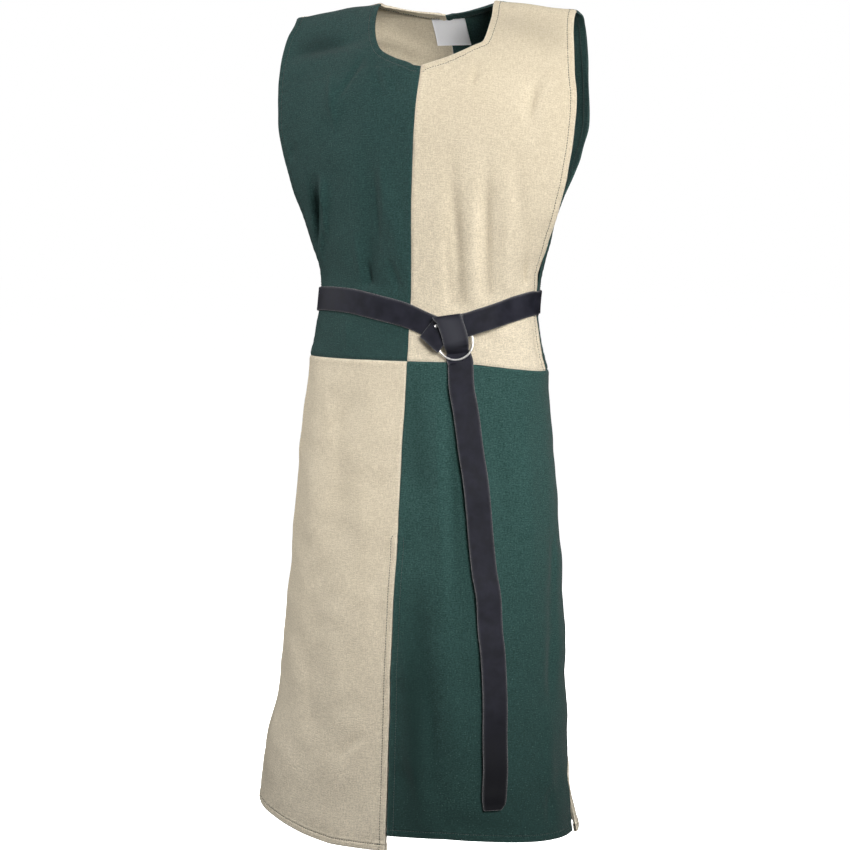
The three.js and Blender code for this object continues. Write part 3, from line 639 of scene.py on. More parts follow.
def strip_faces(first: np.ndarray, second: np.ndarray) -> np.ndarray:
    """Faces between two lines of vertices of the same length."""
    return np.stack([first[:-1], second[:-1], second[1:], first[1:]], axis=1)


@dataclass
class Skin:
    """Vertices, faces and what is stored on them, before they become an object."""

    points: np.ndarray
    faces: np.ndarray
    uv: np.ndarray | None = None
    marks: dict[str, np.ndarray] = field(default_factory=dict)

    @classmethod
    def between(
        cls, outer: np.ndarray, inner: np.ndarray, marks: dict[str, np.ndarray], uv: np.ndarray | None = None,
    ) -> "Skin":
        """The closed body between two grids of points, which share their marks and UVs.

        Args:
            outer: rows by columns of points.
            inner: the same for the inner face.
            marks: each mark's value on the grid.
            uv: the UVs on the grid, in metres.

        Returns:
            The skin, with the outer grid's vertices first.
        """
        points = np.concatenate([outer.reshape(-1, 3), inner.reshape(-1, 3)])
        doubled = {name: np.tile(values.ravel(), 2) for name, values in marks.items()}
        if uv is not None:
            uv = np.tile(uv.reshape(-1, 2), (2, 1))
        return cls(points, shell(outer, inner), uv, doubled)

    def joined(self, other: "Skin") -> "Skin":
        """This skin and another as one.

        Args:
            other: a skin with the same marks.

        Returns:
            A new skin that holds both.
        """
        faces = np.concatenate([self.faces, other.faces + len(self.points)])
        uv = None if self.uv is None else np.concatenate([self.uv, other.uv])
        marks = {name: np.concatenate([values, other.marks[name]]) for name, values in self.marks.items()}
        return Skin(np.concatenate([self.points, other.points]), faces, uv, marks)

    def outside_out(self) -> "Skin":
        """The same skin with its faces turned so that the enclosed volume is positive."""
        a, b, c, d = (self.points[self.faces[:, k]] for k in range(4))
        volume = np.sum(np.cross(a, b) * c) + np.sum(np.cross(a, c) * d)
        if volume < 0:
            self.faces = self.faces[:, ::-1]
        return self

    def object(self, name: str) -> bpy.types.Object:
        """Makes the object, with its place in its mesh, in metres.

        Args:
            name: the object's name.

        Returns:
            The linked object, shaded smooth.
        """
        mesh = bpy.data.meshes.new(name)
        mesh.from_pydata((self.points * METRE).tolist(), [], self.faces.tolist())
        mesh.polygons.foreach_set("use_smooth", np.ones(len(mesh.polygons), bool))
        if self.uv is not None:
            corner = np.empty(len(mesh.loops), np.int32)
            mesh.loops.foreach_get("vertex_index", corner)
            layer = mesh.uv_layers.new(name="UVMap")
            layer.data.foreach_set("uv", self.uv[corner].astype(np.float32).ravel())
        for mark, values in self.marks.items():
            attribute = mesh.attributes.new(mark, "FLOAT", "POINT")
            attribute.data.foreach_set("value", values.astype(np.float32))
        mesh.update()
        made = bpy.data.objects.new(name, mesh)
        bpy.context.scene.collection.objects.link(made)
        return made


def shell(outer: np.ndarray, inner: np.ndarray) -> np.ndarray:
    """Faces of the closed body between two grids of the same size.

    Args:
        outer: rows by columns of points.
        inner: the same for the inner face.

    Returns:
        Faces over the outer grid's vertices, then the inner grid's.
    """
    rows, columns = outer.shape[:2]
    count = rows * columns
    number = np.arange(count).reshape(rows, columns)
    rims = [
        strip_faces(number[:, 0], number[:, 0] + count),
        strip_faces(number[:, -1] + count, number[:, -1]),
        strip_faces(number[0] + count, number[0]),
        strip_faces(number[-1], number[-1] + count),
    ]
    faces = [grid_faces(rows, columns, 0, True), grid_faces(rows, columns, count, False)]
    return np.concatenate(faces + rims)


def along(points: np.ndarray) -> np.ndarray:
    """Length along a line of points, from 0 at the first."""
    steps = np.linalg.norm(np.diff(points, axis=0), axis=-1)
    return np.concatenate([[0.0], np.cumsum(steps)])


def near_line(points: np.ndarray, line: np.ndarray) -> tuple[np.ndarray, np.ndarray]:
    """How far points lie from a broken line, and how far along it.

    The distance is the least over the line's segments, each taken at the foot of the
    perpendicular, held between the segment's ends.

    Args:
        points: any array of points.
        line: the line's points.

    Returns:
        The distance and the length along the line, shaped as points without its last axis.
    """
    flat = points.reshape(-1, 3)
    start, step = line[:-1], np.diff(line, axis=0)
    square = np.maximum(np.sum(step * step, axis=1), 1e-9)
    lengths = along(line)
    best = np.full(len(flat), np.inf)
    where = np.zeros(len(flat))
    for k in range(len(start)):
        delta = flat - start[k]
        share = np.clip(delta @ step[k] / square[k], 0, 1)
        distance = np.sum((delta - share[:, None] * step[k]) ** 2, axis=1)
        closer = distance < best
        best = np.where(closer, distance, best)
        where = np.where(closer, lengths[k] + share * (lengths[k + 1] - lengths[k]), where)
    shape = points.shape[:-1]
    return np.sqrt(best).reshape(shape), where.reshape(shape)


NEAR_EDGE = np.array([0, 0.5, 1.1, 1.9, 3.0, 4.4, 6.0, 7.4, 8.3, 9.0, 9.7, 10.6, 11.6, 12.8, 14.2])
EDGE_BAND = 16.0


def packed(length: float, pitch: float) -> np.ndarray:
    """Shares of a length, close together within the edge band at both ends.

    Args:
        length: millimetres.
        pitch: the step away from the ends.

    Returns:
        Shares from 0 to 1.
    """
    steps = max(int((length - 2 * EDGE_BAND) / pitch), 2)
    middle = np.linspace(EDGE_BAND, length - EDGE_BAND, steps + 1)
    return np.concatenate([NEAR_EDGE, middle, (length - NEAR_EDGE)[::-1]]) / length


def bell(distance: np.ndarray, reach: float) -> np.ndarray:
    """A bell curve: 1 at no distance, and e to the power of -1 at the reach."""
    return np.exp(-((distance / reach) ** 2))


def drift(along_edge: np.ndarray, seed: float) -> np.ndarray:
    """An uneven value from about -1 to 1: three sines whose periods don't divide each other."""
    waves = np.sin(along_edge / 23.0 + seed) + np.sin(along_edge / 61.0 + 2.3 * seed)
    return (waves + np.sin(along_edge / 9.7 + 4.1 * seed)) / 3.0


class EdgeKind(Enum):
    """How an edge of a panel is finished."""

    HEM = "turned twice and topstitched"
    ROPED = "turned twice, topstitched and roped by the pull of the machine"
    SEAM = "sewn to the next panel"


@dataclass(frozen=True)
class HemMaker:
    """Relief of hems and seams by the distance from the edge."""

    width: float = 11.0
    stitch_line: float = 8.9
    layer: float = 0.55
    groove: float = 0.8
    groove_reach: float = 1.3
    round_depth: float = 0.7
    round_reach: float = 1.1
    pucker: float = 0.55
    pucker_length: float = 10.5
    lean: float = 0.15
    roped_lean: float = 0.75
    roped_strength: float = 2.7
    turned: float = 1.2
    allowance: float = 0.5
    seam_swell: float = 0.45
    swell_middle: float = 5.0
    swell_reach: float = 3.2
    swell_drift: float = 0.4
    seam_depth: float = 0.95
    seam_reach: float = 1.7
    plateau_end: tuple[float, float] = (-0.8, 1.8)
    turned_end: tuple[float, float] = (-0.7, 0.5)
    allowance_end: tuple[float, float] = (8.0, 10.0)
    pucker_span: tuple[float, float, float, float] = (0, 4, 10, 19)
    pucker_mean: float = 0.55
    pucker_drift: float = 0.45
    pucker_shift: float = 1.6
    length_drift: float = 1.5

    def relief(self, kind: EdgeKind, distance: np.ndarray, length: np.ndarray, seed: float) -> np.ndarray:
        """Height of the outer face near an edge.

        A hem has a plateau one layer high that ends softly past its width, a groove under the
        thread, a rounded edge and puckers, which are sines along the edge with an uneven
        height. A roped hem's puckers lean. A seam has a rounded edge and a low swell over the
        turned allowance.

        Args:
            kind: how the edge is finished.
            distance: millimetres from the edge.
            length: millimetres along the edge.
            seed: shifts the unevenness.

        Returns:
            Millimetres outwards.
        """
        if kind is EdgeKind.SEAM:
            swell = self.seam_swell * bell(distance - self.swell_middle, self.swell_reach)
            swell = swell * (1 + self.swell_drift * drift(length, seed))
            return swell - self.seam_depth * bell(distance, self.seam_reach)
        plateau = self.layer * (1 - self.past_width(distance, self.plateau_end))
        groove = self.groove * bell(distance - self.stitch_line, self.groove_reach)
        rounded = self.round_depth * bell(distance, self.round_reach)
        roped = kind is EdgeKind.ROPED
        lean, strength = (self.roped_lean, self.roped_strength) if roped else (self.lean, 1.0)
        period = self.pucker_length + self.length_drift * math.sin(seed)
        phase = self.pucker_shift * drift(length, seed)
        wave = np.sin(2 * np.pi * (length + lean * distance) / period + phase)
        height = self.pucker_mean + self.pucker_drift * drift(length, seed + 1)
        uneven = window(distance, *self.pucker_span) * height
        return plateau - groove - rounded + self.pucker * strength * wave * uneven

    def thickness(self, kind: EdgeKind, distance: np.ndarray) -> np.ndarray:
        """How much thicker the wall is inwards, where the hem is turned."""
        if kind is EdgeKind.SEAM:
            return self.allowance * (1 - ramp(distance, *self.allowance_end))
        return self.turned * (1 - self.past_width(distance, self.turned_end))

    def past_width(self, distance: np.ndarray, end: tuple[float, float]) -> np.ndarray:
        """A ramp over the end of the hem's width, between two offsets from it."""
        return ramp(distance, self.width + end[0], self.width + end[1])


HEMS = HemMaker()


def dimmed(colour: Colour, share: float) -> Colour:
    """A linear colour times a share."""
    return tuple(share * c for c in colour)


class Nodes:
    """Short ways to add nodes to one material."""

    def __init__(self, name: str) -> None:
        """Starts a material that holds one Principled shader.

        Args:
            name: the material's name.
        """
        self.material = bpy.data.materials.new(name)
        self.material.use_nodes = True
        self.tree = self.material.node_tree
        self.shader = self.tree.nodes["Principled BSDF"]

    def link(self, source: Socket, target: Socket) -> None:
        """Joins two sockets."""
        self.tree.links.new(source, target)

    def math(self, kind: str, first: object, second: object = 0.0, clamp: bool = False) -> Socket:
        """Adds a Math node.

        Args:
            kind: its operation.
            first: a socket or a number.
            second: a socket or a number.
            clamp: holds the result between 0 and 1.

        Returns:
            The node's output.
        """
        node = self.tree.nodes.new("ShaderNodeMath")
        node.operation = kind
        node.use_clamp = clamp
        for k, value in enumerate((first, second)):
            if isinstance(value, Socket):
                self.link(value, node.inputs[k])
            else:
                node.inputs[k].default_value = value
        return node.outputs[0]

    def plus(self, first: object, second: object) -> Socket:
        """The sum of two sockets or numbers."""
        return self.math("ADD", first, second)

    def times(self, first: object, second: object) -> Socket:
        """The product of two sockets or numbers."""
        return self.math("MULTIPLY", first, second)

    def paint(self, colour: Socket) -> None:
        """Takes a socket as the shader's colour."""
        self.link(colour, self.shader.inputs["Base Color"])

    def settle(self, values: dict[str, float]) -> None:
        """Sets the shader's own sockets to plain numbers."""
        for name, value in values.items():
            self.shader.inputs[name].default_value = value

    def mapped(self, source: Socket, scale: Vector) -> Socket:
        """Coordinates multiplied by a scale.

        Args:
            source: the coordinates.
            scale: a factor for each axis.

        Returns:
            The scaled coordinates.
        """
        node = self.tree.nodes.new("ShaderNodeMapping")
        node.inputs["Scale"].default_value = scale
        self.link(source, node.inputs["Vector"])
        return node.outputs["Vector"]

    def noise(self, source: Socket, scale: Vector, detail: float) -> Socket:
        """A noise texture over scaled coordinates.

        Args:
            source: the coordinates.
            scale: what they are multiplied by.
            detail: how many octaves.

        Returns:
            The texture's grey output.
        """
        node = self.tree.nodes.new("ShaderNodeTexNoise")
        node.inputs["Scale"].default_value = 1.0
        node.inputs["Detail"].default_value = detail
        self.link(self.mapped(source, scale), node.inputs["Vector"])
        return node.outputs["Fac"]

    def between(self, source: Socket, low: float, high: float) -> Socket:
        """Stretches a range over 0 to 1, and holds it there.

        Args:
            source: what is read.
            low: what becomes 0.
            high: what becomes 1.

        Returns:
            The stretched value.
        """
        node = self.tree.nodes.new("ShaderNodeMapRange")
        node.inputs["From Min"].default_value = low
        node.inputs["From Max"].default_value = high
        self.link(source, node.inputs["Value"])
        return node.outputs["Result"]

    def mix(self, share: Socket, first: object, second: object) -> Socket:
        """Adds a colour mix.

        Args:
            share: how much of the second.
            first: a socket or a linear colour.
            second: a socket or a linear colour.

        Returns:
            The mixed colour.
        """
        node = self.tree.nodes.new("ShaderNodeMix")
        node.data_type = "RGBA"
        self.link(share, node.inputs["Factor"])
        for name, value in (("A", first), ("B", second)):
            socket = next(s for s in node.inputs if s.name == name and s.type == "RGBA")
            if isinstance(value, Socket):
                self.link(value, socket)
            else:
                socket.default_value = (*value, 1.0)
        return next(s for s in node.outputs if s.type == "RGBA")

    def coordinates(self, name: str) -> Socket:
        """An output of Texture Coordinate: UV or Object."""
        node = self.tree.nodes.new("ShaderNodeTexCoord")
        return node.outputs[name]

    def mark(self, name: str) -> Socket:
        """A stored mark's value."""
        node = self.tree.nodes.new("ShaderNodeAttribute")
        node.attribute_name = name
        return node.outputs["Fac"]

    def bump(self, height: Socket, strength: float, distance: float) -> None:
        """Bends the shader's normal by a height.

        Args:
            height: the height, 0 to 1.
            strength: share of the whole effect.
            distance: metres for a height of 1.
        """
        node = self.tree.nodes.new("ShaderNodeBump")
        node.inputs["Strength"].default_value = strength
        node.inputs["Distance"].default_value = distance
        self.link(height, node.inputs["Height"])
        self.link(node.outputs["Normal"], self.shader.inputs["Normal"])


@dataclass(frozen=True)
class CanvasFinish:
    """Plain-woven cotton canvas: threads, slubs, flecks, fuzz, and pale edges of wear and painted highlight.
    """

    name: str
    slot: str
    base: Colour
    deep: Colour
    fleck: Colour
    wear_and_highlight: Colour
    # Colour towards the panel's foot: painted light and shade that change down the cloth.
    foot: Colour
    fleck_share: float
    threads_per_metre: float = 1150.0
    roughness: float = 0.9
    foot_depth: float = 0.66
    # Share of the deep colour that the painted shade darkens to.
    painted_shade_depth: float = 0.45
    contrast: tuple[float, float] = (0.43, 0.58)
    light_ramp_from: float = 0.18
    light_ramp_to: float = 0.68
    weft_scale: Vector = (90.0, 760.0, 1.0)
    warp_scale: Vector = (760.0, 80.0, 1.0)
    cloud_scale: Vector = (14.0, 9.0, 1.0)
    grain_scale: Vector = (420.0, 640.0, 1.0)
    relief_depth: float = 0.0007

    def build(self) -> bpy.types.Material:
        """Lays slubs along both thread directions, scatters flecks and lifts the weave.

        The weave's height is the product of a sine along each thread direction. The slubs are
        noise stretched eight to one along the weft and, weaker, along the warp. Down the panel
        the colour moves towards the foot colour by a ramp over the length, as painted light and
        shade, and the stored mark darkens it further as painted shade and shadow.

        Returns:
            The material.
        """
        kit = Nodes(self.name)
        uv = kit.coordinates("UV")
        weft = kit.noise(uv, self.weft_scale, 3.0)
        warp = kit.noise(uv, self.warp_scale, 3.0)
        cloudy = kit.noise(uv, self.cloud_scale, 4.0)
        threads = kit.plus(kit.times(weft, 0.55), kit.times(warp, 0.45))
        grain = kit.noise(uv, self.grain_scale, 2.0)
        mottled = kit.plus(kit.times(grain, 0.48), kit.times(cloudy, 0.07))
        shade = kit.plus(kit.times(threads, 0.45), mottled)
        split = kit.tree.nodes.new("ShaderNodeSeparateXYZ")
        kit.link(uv, split.inputs["Vector"])
        # Painted light and shade down the panel: the colour moves towards the foot colour.
        lower = kit.between(split.outputs["Y"], self.light_ramp_from, self.light_ramp_to)
        painted_light_ramp = kit.plus(lower, kit.times(cloudy, 0.2))
        lit = kit.between(shade, *self.contrast)
        woven = kit.mix(lit, self.deep, self.base)
        below = kit.mix(lit, dimmed(self.foot, self.foot_depth), self.foot)
        ground = kit.mix(kit.math("SUBTRACT", painted_light_ramp, 0.1, True), woven, below)
        spots = kit.between(grain, 1.0 - self.fleck_share, 1.06 - self.fleck_share)
        flecked = kit.mix(kit.times(spots, 0.75), ground, self.fleck)
        # Paler edges: part wear of the hems, part painted highlight on their rounded edges.
        wear_and_highlight = kit.times(kit.mark("edge"), kit.between(threads, 0.3, 0.6))
        # Painted shade and shadow, as dark as the stored mark says.
        with_painted_shade = kit.mix(kit.mark("painted_shade"), flecked, dimmed(self.deep, self.painted_shade_depth))
        kit.paint(kit.mix(wear_and_highlight, with_painted_shade, self.wear_and_highlight))
        turn = 2 * math.pi * self.threads_per_metre / 2
        across = kit.math("SINE", kit.times(split.outputs["X"], turn))
        down = kit.math("SINE", kit.times(split.outputs["Y"], turn))
        weave = kit.times(across, down)
        height = kit.plus(kit.times(weave, 0.3), kit.times(threads, 1.1))
        kit.bump(height, 0.8, self.relief_depth)
        rough = kit.plus(kit.times(threads, 0.12), self.roughness - 0.06)
        kit.link(rough, kit.shader.inputs["Roughness"])
        kit.settle({"Specular IOR Level": 0.12, "Sheen Weight": 0.07, "Sheen Roughness": 0.5})
        return kit.material


@dataclass(frozen=True)
class ThreadFinish:
    """Twisted sewing thread."""

    name: str
    slot: str
    light: Colour
    dark: Colour

    def build(self) -> bpy.types.Material:
        """Twists two shades round the thread and gives it a soft shine.

        Returns:
            The material.
        """
        kit = Nodes(self.name)
        place = kit.coordinates("Object")
        twist = kit.noise(place, (2600.0, 2600.0, 2600.0), 1.0)
        kit.paint(kit.mix(kit.between(twist, 0.35, 0.65), self.dark, self.light))
        kit.bump(twist, 0.4, 0.0002)
        kit.settle({"Roughness": 0.6, "Sheen Weight": 0.2})
        return kit.material


@dataclass(frozen=True)
class LeatherFinish:
    """Dyed strap leather: fine grain on the face, a raw paler cut edge and rubs."""

    name: str
    slot: str
    face: Colour
    deep: Colour
    cut: Colour
    # Paler colour painted on the wrap round the ring as a highlight.
    bent: Colour
    roughness: float = 0.56

    def build(self) -> bpy.types.Material:
        """Mixes pores and cloudy dye, and bares the cut edge by its mark.

        Where the strap wraps round the ring a paler colour is painted on as a highlight, and towards its foot
        a darker one as painted shade.

        Returns:
            The material.
        """
        kit = Nodes(self.name)
        place = kit.coordinates("Object")
        pores = kit.tree.nodes.new("ShaderNodeTexVoronoi")
        pores.inputs["Scale"].default_value = 1.0
        kit.link(kit.mapped(place, (1500.0, 1500.0, 1500.0)), pores.inputs["Vector"])
        cloudy = kit.noise(place, (60.0, 60.0, 60.0), 4.0)
        fine = kit.noise(place, (900.0, 900.0, 900.0), 2.0)
        dyed = kit.mix(kit.between(cloudy, 0.35, 0.68), self.deep, self.face)
        # Painted highlight on the wrap round the ring.
        with_wrap_highlight = kit.mix(kit.mark("bent"), dyed, self.bent)
        # Painted shade towards the tail's foot.
        with_foot_shade = kit.mix(kit.mark("loose"), with_wrap_highlight, dimmed(self.deep, 0.35))
        raw = kit.times(kit.mark("cut"), kit.between(fine, 0.25, 0.6))
        kit.paint(kit.mix(raw, with_foot_shade, self.cut))
        height = kit.plus(kit.times(pores.outputs["Distance"], 0.6), fine)
        kit.bump(height, 0.3, 0.0004)
        rub = kit.times(kit.between(cloudy, 0.3, 0.7), 0.12)
        soft = kit.plus(kit.times(kit.mark("cut"), 0.3), self.roughness)
        kit.link(kit.plus(rub, soft), kit.shader.inputs["Roughness"])
        kit.settle({"Specular IOR Level": 0.13})
        return kit.material


@dataclass(frozen=True)
class SteelFinish:
    """Nickel-plated wire with fine polishing marks and slight tarnish."""

    name: str
    slot: str
    bright: Colour
    dull: Colour

    def build(self) -> bpy.types.Material:
        """Clouds the plating and scratches it finely.

        Returns:
            The material.
        """
        kit = Nodes(self.name)
        place = kit.coordinates("Object")
        cloudy = kit.noise(place, (180.0, 180.0, 180.0), 3.0)
        fine = kit.noise(place, (2400.0, 2400.0, 500.0), 2.0)
        kit.paint(kit.mix(kit.between(cloudy, 0.4, 0.75), self.bright, self.dull))
        kit.settle({"Metallic": 0.7})
        kit.link(kit.plus(kit.times(cloudy, 0.2), 0.24), kit.shader.inputs["Roughness"])
        kit.bump(fine, 0.08, 0.0002)
        return kit.material


@dataclass(frozen=True)
class TapeFinish:
    """Fine woven label tape with a satin ground."""

    name: str
    slot: str
    base: Colour
    deep: Colour

    def build(self) -> bpy.types.Material:
        """Ribs the tape across and shades its ribs.

        Returns:
            The material.
        """
        kit = Nodes(self.name)
        uv = kit.coordinates("UV")
        fine = kit.noise(uv, (300.0, 2600.0, 1.0), 2.0)
        kit.paint(kit.mix(kit.between(fine, 0.3, 0.7), self.deep, self.base))
        kit.bump(fine, 0.5, 0.0002)
        kit.settle({"Roughness": 0.55, "Sheen Weight": 0.15})
        return kit.material


@dataclass(frozen=True)
class Topstitch:
    """One line of machine stitches as short raised threads."""

    length: float = 3.1
    gap: float = 0.5
    radius: float = 0.55
    lift: float = 0.16
    rise: float = 1.6
    sunk: float = 0.9
    taper: float = 0.93
    rings: int = 5
    sides: int = 5

    def skin(self, line: np.ndarray, normals: np.ndarray) -> Skin | None:
        """Carries a tapered section along each stitch.

        Each stitch rises over the cloth as half a sine and thins to its ends by the square
        root of one less the square of the share from its middle.

        Args:
            line: points of the seam line on the cloth.
            normals: the cloth's outward normals there.

        Returns:
            The stitches, or None where the line is too short.
        """
        lengths = along(line)
        count = int(lengths[-1] // (self.length + self.gap))
        if count < 1:
            return None
        share = np.linspace(-1, 1, self.rings)
        middle = (np.arange(count) + 0.5) * lengths[-1] / count
        at = middle[:, None] + share * self.length / 2
        centre = np.stack([np.interp(at, lengths, line[:, k]) for k in range(3)], axis=-1)
        normal = unit(np.stack([np.interp(at, lengths, normals[:, k]) for k in range(3)], axis=-1))
        ahead = unit(centre[:, -1:] - centre[:, :1])
        side = unit(np.cross(ahead, normal))
        centre = centre + normal * (self.lift * (self.rise * np.cos(share * np.pi / 2) - self.sunk))[:, None]
        thin = self.radius * np.sqrt(np.maximum(1 - (share * self.taper) ** 2, 0.02))
        angle = np.arange(self.sides) * 2 * np.pi / self.sides
        ring = normal[:, :, None] * np.sin(angle)[:, None] + side[:, :, None] * np.cos(angle)[:, None]
        points = centre[:, :, None] + ring * thin[:, None, None]
        first = np.arange(count) * self.rings * self.sides
        faces = (ring_faces(self.rings, self.sides, False) + first[:, None, None]).reshape(-1, 4)
        return Skin(points.reshape(-1, 3), faces).outside_out()


STITCH = Topstitch()


@dataclass
class CanvasPanel:
    """One cut piece of the tabard with its hems, creases and topstitching."""

    face: Face
    level: Level
    side: Side
    flat: tuple[float, float]
    area: float
    seed: float
    pitch: float = 3.2
    upper_height: float = 540.0
    lower_height: float = 690.0
    width: float = 255.0
    slit_from: float = 0.345
    side_slit_from: float = 0.89
    edge_wear_and_highlight: float = 0.5
    edge_reach: float = 1.6
    # Painted shade added in the troughs of folds and creases.
    trough_painted_shade: float = 0.06
    trough_depth: float = 5.0
    waves: int = 26
    wave_lengths: tuple[float, float] = (30, 110)
    steepness: float = 0.0022
    held_share: float = 0.15
    neck_pitch: float = 0.0022
    neck_slack: float = 0.0005
    neck_overlap: float = 0.002
    slit_overlap: float = 0.01
    skirt_gap: float = SEAM_HALF_GAP / 700.0
    shoulder_gap: float = SEAM_HALF_GAP / 360.0
    waist_gap: float = SEAM_HALF_GAP / 400.0

    @property
    def name(self) -> str:
        """The node's name: face, level and the wearer's side."""
        return f"{self.face.value}_{self.level.value}_{self.side.name.lower()}"

    def levels(self) -> np.ndarray:
        """Rows down the panel, close together at its ends and along the neck's curve."""
        if self.level is Level.LOWER:
            return np.clip(packed(self.lower_height, self.pitch), self.skirt_gap, 1.0)
        at_neck = np.arange(*NECK_CURVE[self.face], self.neck_pitch)
        t = np.concatenate([packed(self.upper_height, self.pitch), at_neck])
        return np.clip(np.unique(t), self.shoulder_gap, 1 - self.waist_gap)

    def undulation(self, across: np.ndarray, down: np.ndarray) -> np.ndarray:
        """Small uneven waves of the cloth: a sum of plane waves 30 to 110 mm long.

        Args:
            across: millimetres across the cloth.
            down: millimetres down it.

        Returns:
            Millimetres outwards, within about 1 either way.
        """
        random = np.random.default_rng(int(self.seed * 100) + 5)
        out = np.zeros_like(across)
        for _ in range(self.waves):
            length = random.uniform(*self.wave_lengths)
            heading = random.uniform(0, np.pi)
            phase = random.uniform(0, 2 * np.pi)
            wave = (np.cos(heading) * across + np.sin(heading) * down) * 2 * np.pi / length + phase
            out += self.steepness * length * np.sin(wave)
        return out

    def edges(self, plain: np.ndarray, t: np.ndarray) -> list[tuple[EdgeKind, np.ndarray]]:
        """The panel's edges with how each is finished.

        Args:
            plain: the panel's points without relief.
            t: its rows' levels.

        Returns:
            Pairs of a kind and a line of points.
        """
        start, end = plain[:, 0], plain[:, -1]
        if self.level is Level.UPPER:
            neck_foot = NECK[self.face].key[-1]
            neck, seam = t <= neck_foot + self.neck_slack, t >= neck_foot - self.neck_overlap
            return [
                (EdgeKind.HEM, start[neck]), (EdgeKind.SEAM, start[seam]), (EdgeKind.HEM, end),
                (EdgeKind.SEAM, plain[0]), (EdgeKind.SEAM, plain[-1]),
            ]
        opened, closed = t >= self.slit_from, t <= self.slit_from + self.slit_overlap
        slit, sewn = t >= self.side_slit_from, t <= self.side_slit_from + self.slit_overlap
        return [
            (EdgeKind.HEM, start[opened]), (EdgeKind.SEAM, start[closed]), (EdgeKind.HEM, end[slit]),
            (EdgeKind.SEAM, end[sewn]), (EdgeKind.SEAM, plain[0]), (EdgeKind.ROPED, plain[-1]),
        ]

    def stitch_line(
        self, distance: np.ndarray, grid: np.ndarray, normals: np.ndarray, by_rows: bool,
    ) -> tuple[np.ndarray, np.ndarray]:
        """Where the distance from an edge passes the stitch line, row by row or column by column.

        Args:
            distance: millimetres from the edge, on the grid.
            grid: the face's points.
            normals: its outward normals.
            by_rows: reads along rows, from the side the edge is on.

        Returns:
            The line's points and normals.
        """
        if not by_rows:
            distance, grid, normals = distance.T, grid.transpose(1, 0, 2), normals.transpose(1, 0, 2)
        crossing = (distance[:, :-1] - HEMS.stitch_line) * (distance[:, 1:] - HEMS.stitch_line) <= 0
        rows = np.nonzero(crossing.any(axis=1))[0]
        k = crossing[rows].argmax(axis=1)
        near, far = distance[rows, k], distance[rows, k + 1]
        share = ((HEMS.stitch_line - near) / np.where(far == near, 1, far - near))[:, None]
        line, upright = (a[rows, k] * (1 - share) + a[rows, k + 1] * share for a in (grid, normals))
        return line, unit(upright)

    def build(self, cloth: bpy.types.Material, thread: bpy.types.Material, finish: CanvasFinish) -> None:
        """Small waves and hem relief fade to a share of their height under the belt. The stitches
        of every hem lie on both faces of the cloth.

        Args:
            cloth: the canvas material.
            thread: the thread material.
            finish: not used.
        """
        place = (self.face, self.level)
        t = self.levels()
        start = FORM.inner_share(*place, self.side, t)
        end = FORM.outer_share(*place, self.side, t)
        columns = packed(self.width, self.pitch)
        s = self.side.value * (start[:, None] + (end - start)[:, None] * columns)
        grid_t = np.repeat(t[:, None], len(columns), axis=1)
        plain = FORM.surface(*place, s, grid_t)
        normal = FORM.outward(*place, s, grid_t)
        steps_across = np.linalg.norm(np.diff(plain, axis=1), axis=-1)
        from_centre = np.linalg.norm(plain[:, 0] - FORM.surface(*place, 0 * t, t), axis=-1)
        across = np.concatenate([from_centre[:, None], steps_across], axis=1).cumsum(axis=1)
        down = np.repeat(along(plain[:, len(columns) // 2])[:, None], len(columns), axis=1)
        hold = FORM.belt_hold(self.face, s, grid_t) if self.level is Level.UPPER else np.ones_like(s)
        tables = (FOLDS, CREASES, PAINTED_SHADE)
        out, creases, painted_shade = (FORM.relief(rows[self.face], *place, s, grid_t) for rows in tables)
        out += creases
        trim = self.undulation(across, down)
        wall = np.full_like(s, CLOTH_WALL)
        wear_and_highlight = np.zeros_like(s)
        # Painted shade: the table's patches, and more in the troughs.
        painted_shade = np.clip(painted_shade + self.trough_painted_shade * np.clip(-out / self.trough_depth, 0, 1), 0, 1)
        stitched = []
        for kind, line in self.edges(plain, t):
            distance, length = near_line(plain, line)
            trim = trim + HEMS.relief(kind, distance, length, self.seed)
            wall = wall + HEMS.thickness(kind, distance)
            # The edge mark is part wear, part painted highlight.
            wear_and_highlight = np.maximum(wear_and_highlight, bell(distance, self.edge_reach))
            if kind is not EdgeKind.SEAM:
                stitched.append((kind, distance))
        outer = plain + normal * (out + trim * (self.held_share + (1 - self.held_share) * hold))[..., None]
        inner = plain + normal * (out - wall)[..., None]
        uv = np.stack([across, down], axis=-1) * METRE
        body = Skin.between(outer, inner, {"edge": wear_and_highlight * self.edge_wear_and_highlight, "painted_shade": painted_shade}, uv).outside_out()
        panel = body.object(self.name + "_canvas")
        panel.data.materials.append(cloth)
        threads = None
        for kind, distance in stitched:
            for grid, upright in ((outer, normal), (inner, -normal)):
                line, up = self.stitch_line(distance, grid, upright, kind is EdgeKind.HEM)
                made = STITCH.skin(line, up)
                threads = made if threads is None else threads if made is None else threads.joined(made)
        stitches = threads.object(self.name + "_topstitch")
        stitches.data.materials.append(thread)
        for piece in (panel, stitches):
            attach(piece, "root")
        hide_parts(self.name)
        LOG.info("%s: %d faces, %d stitch faces", self.name, len(body.faces), len(threads.faces))


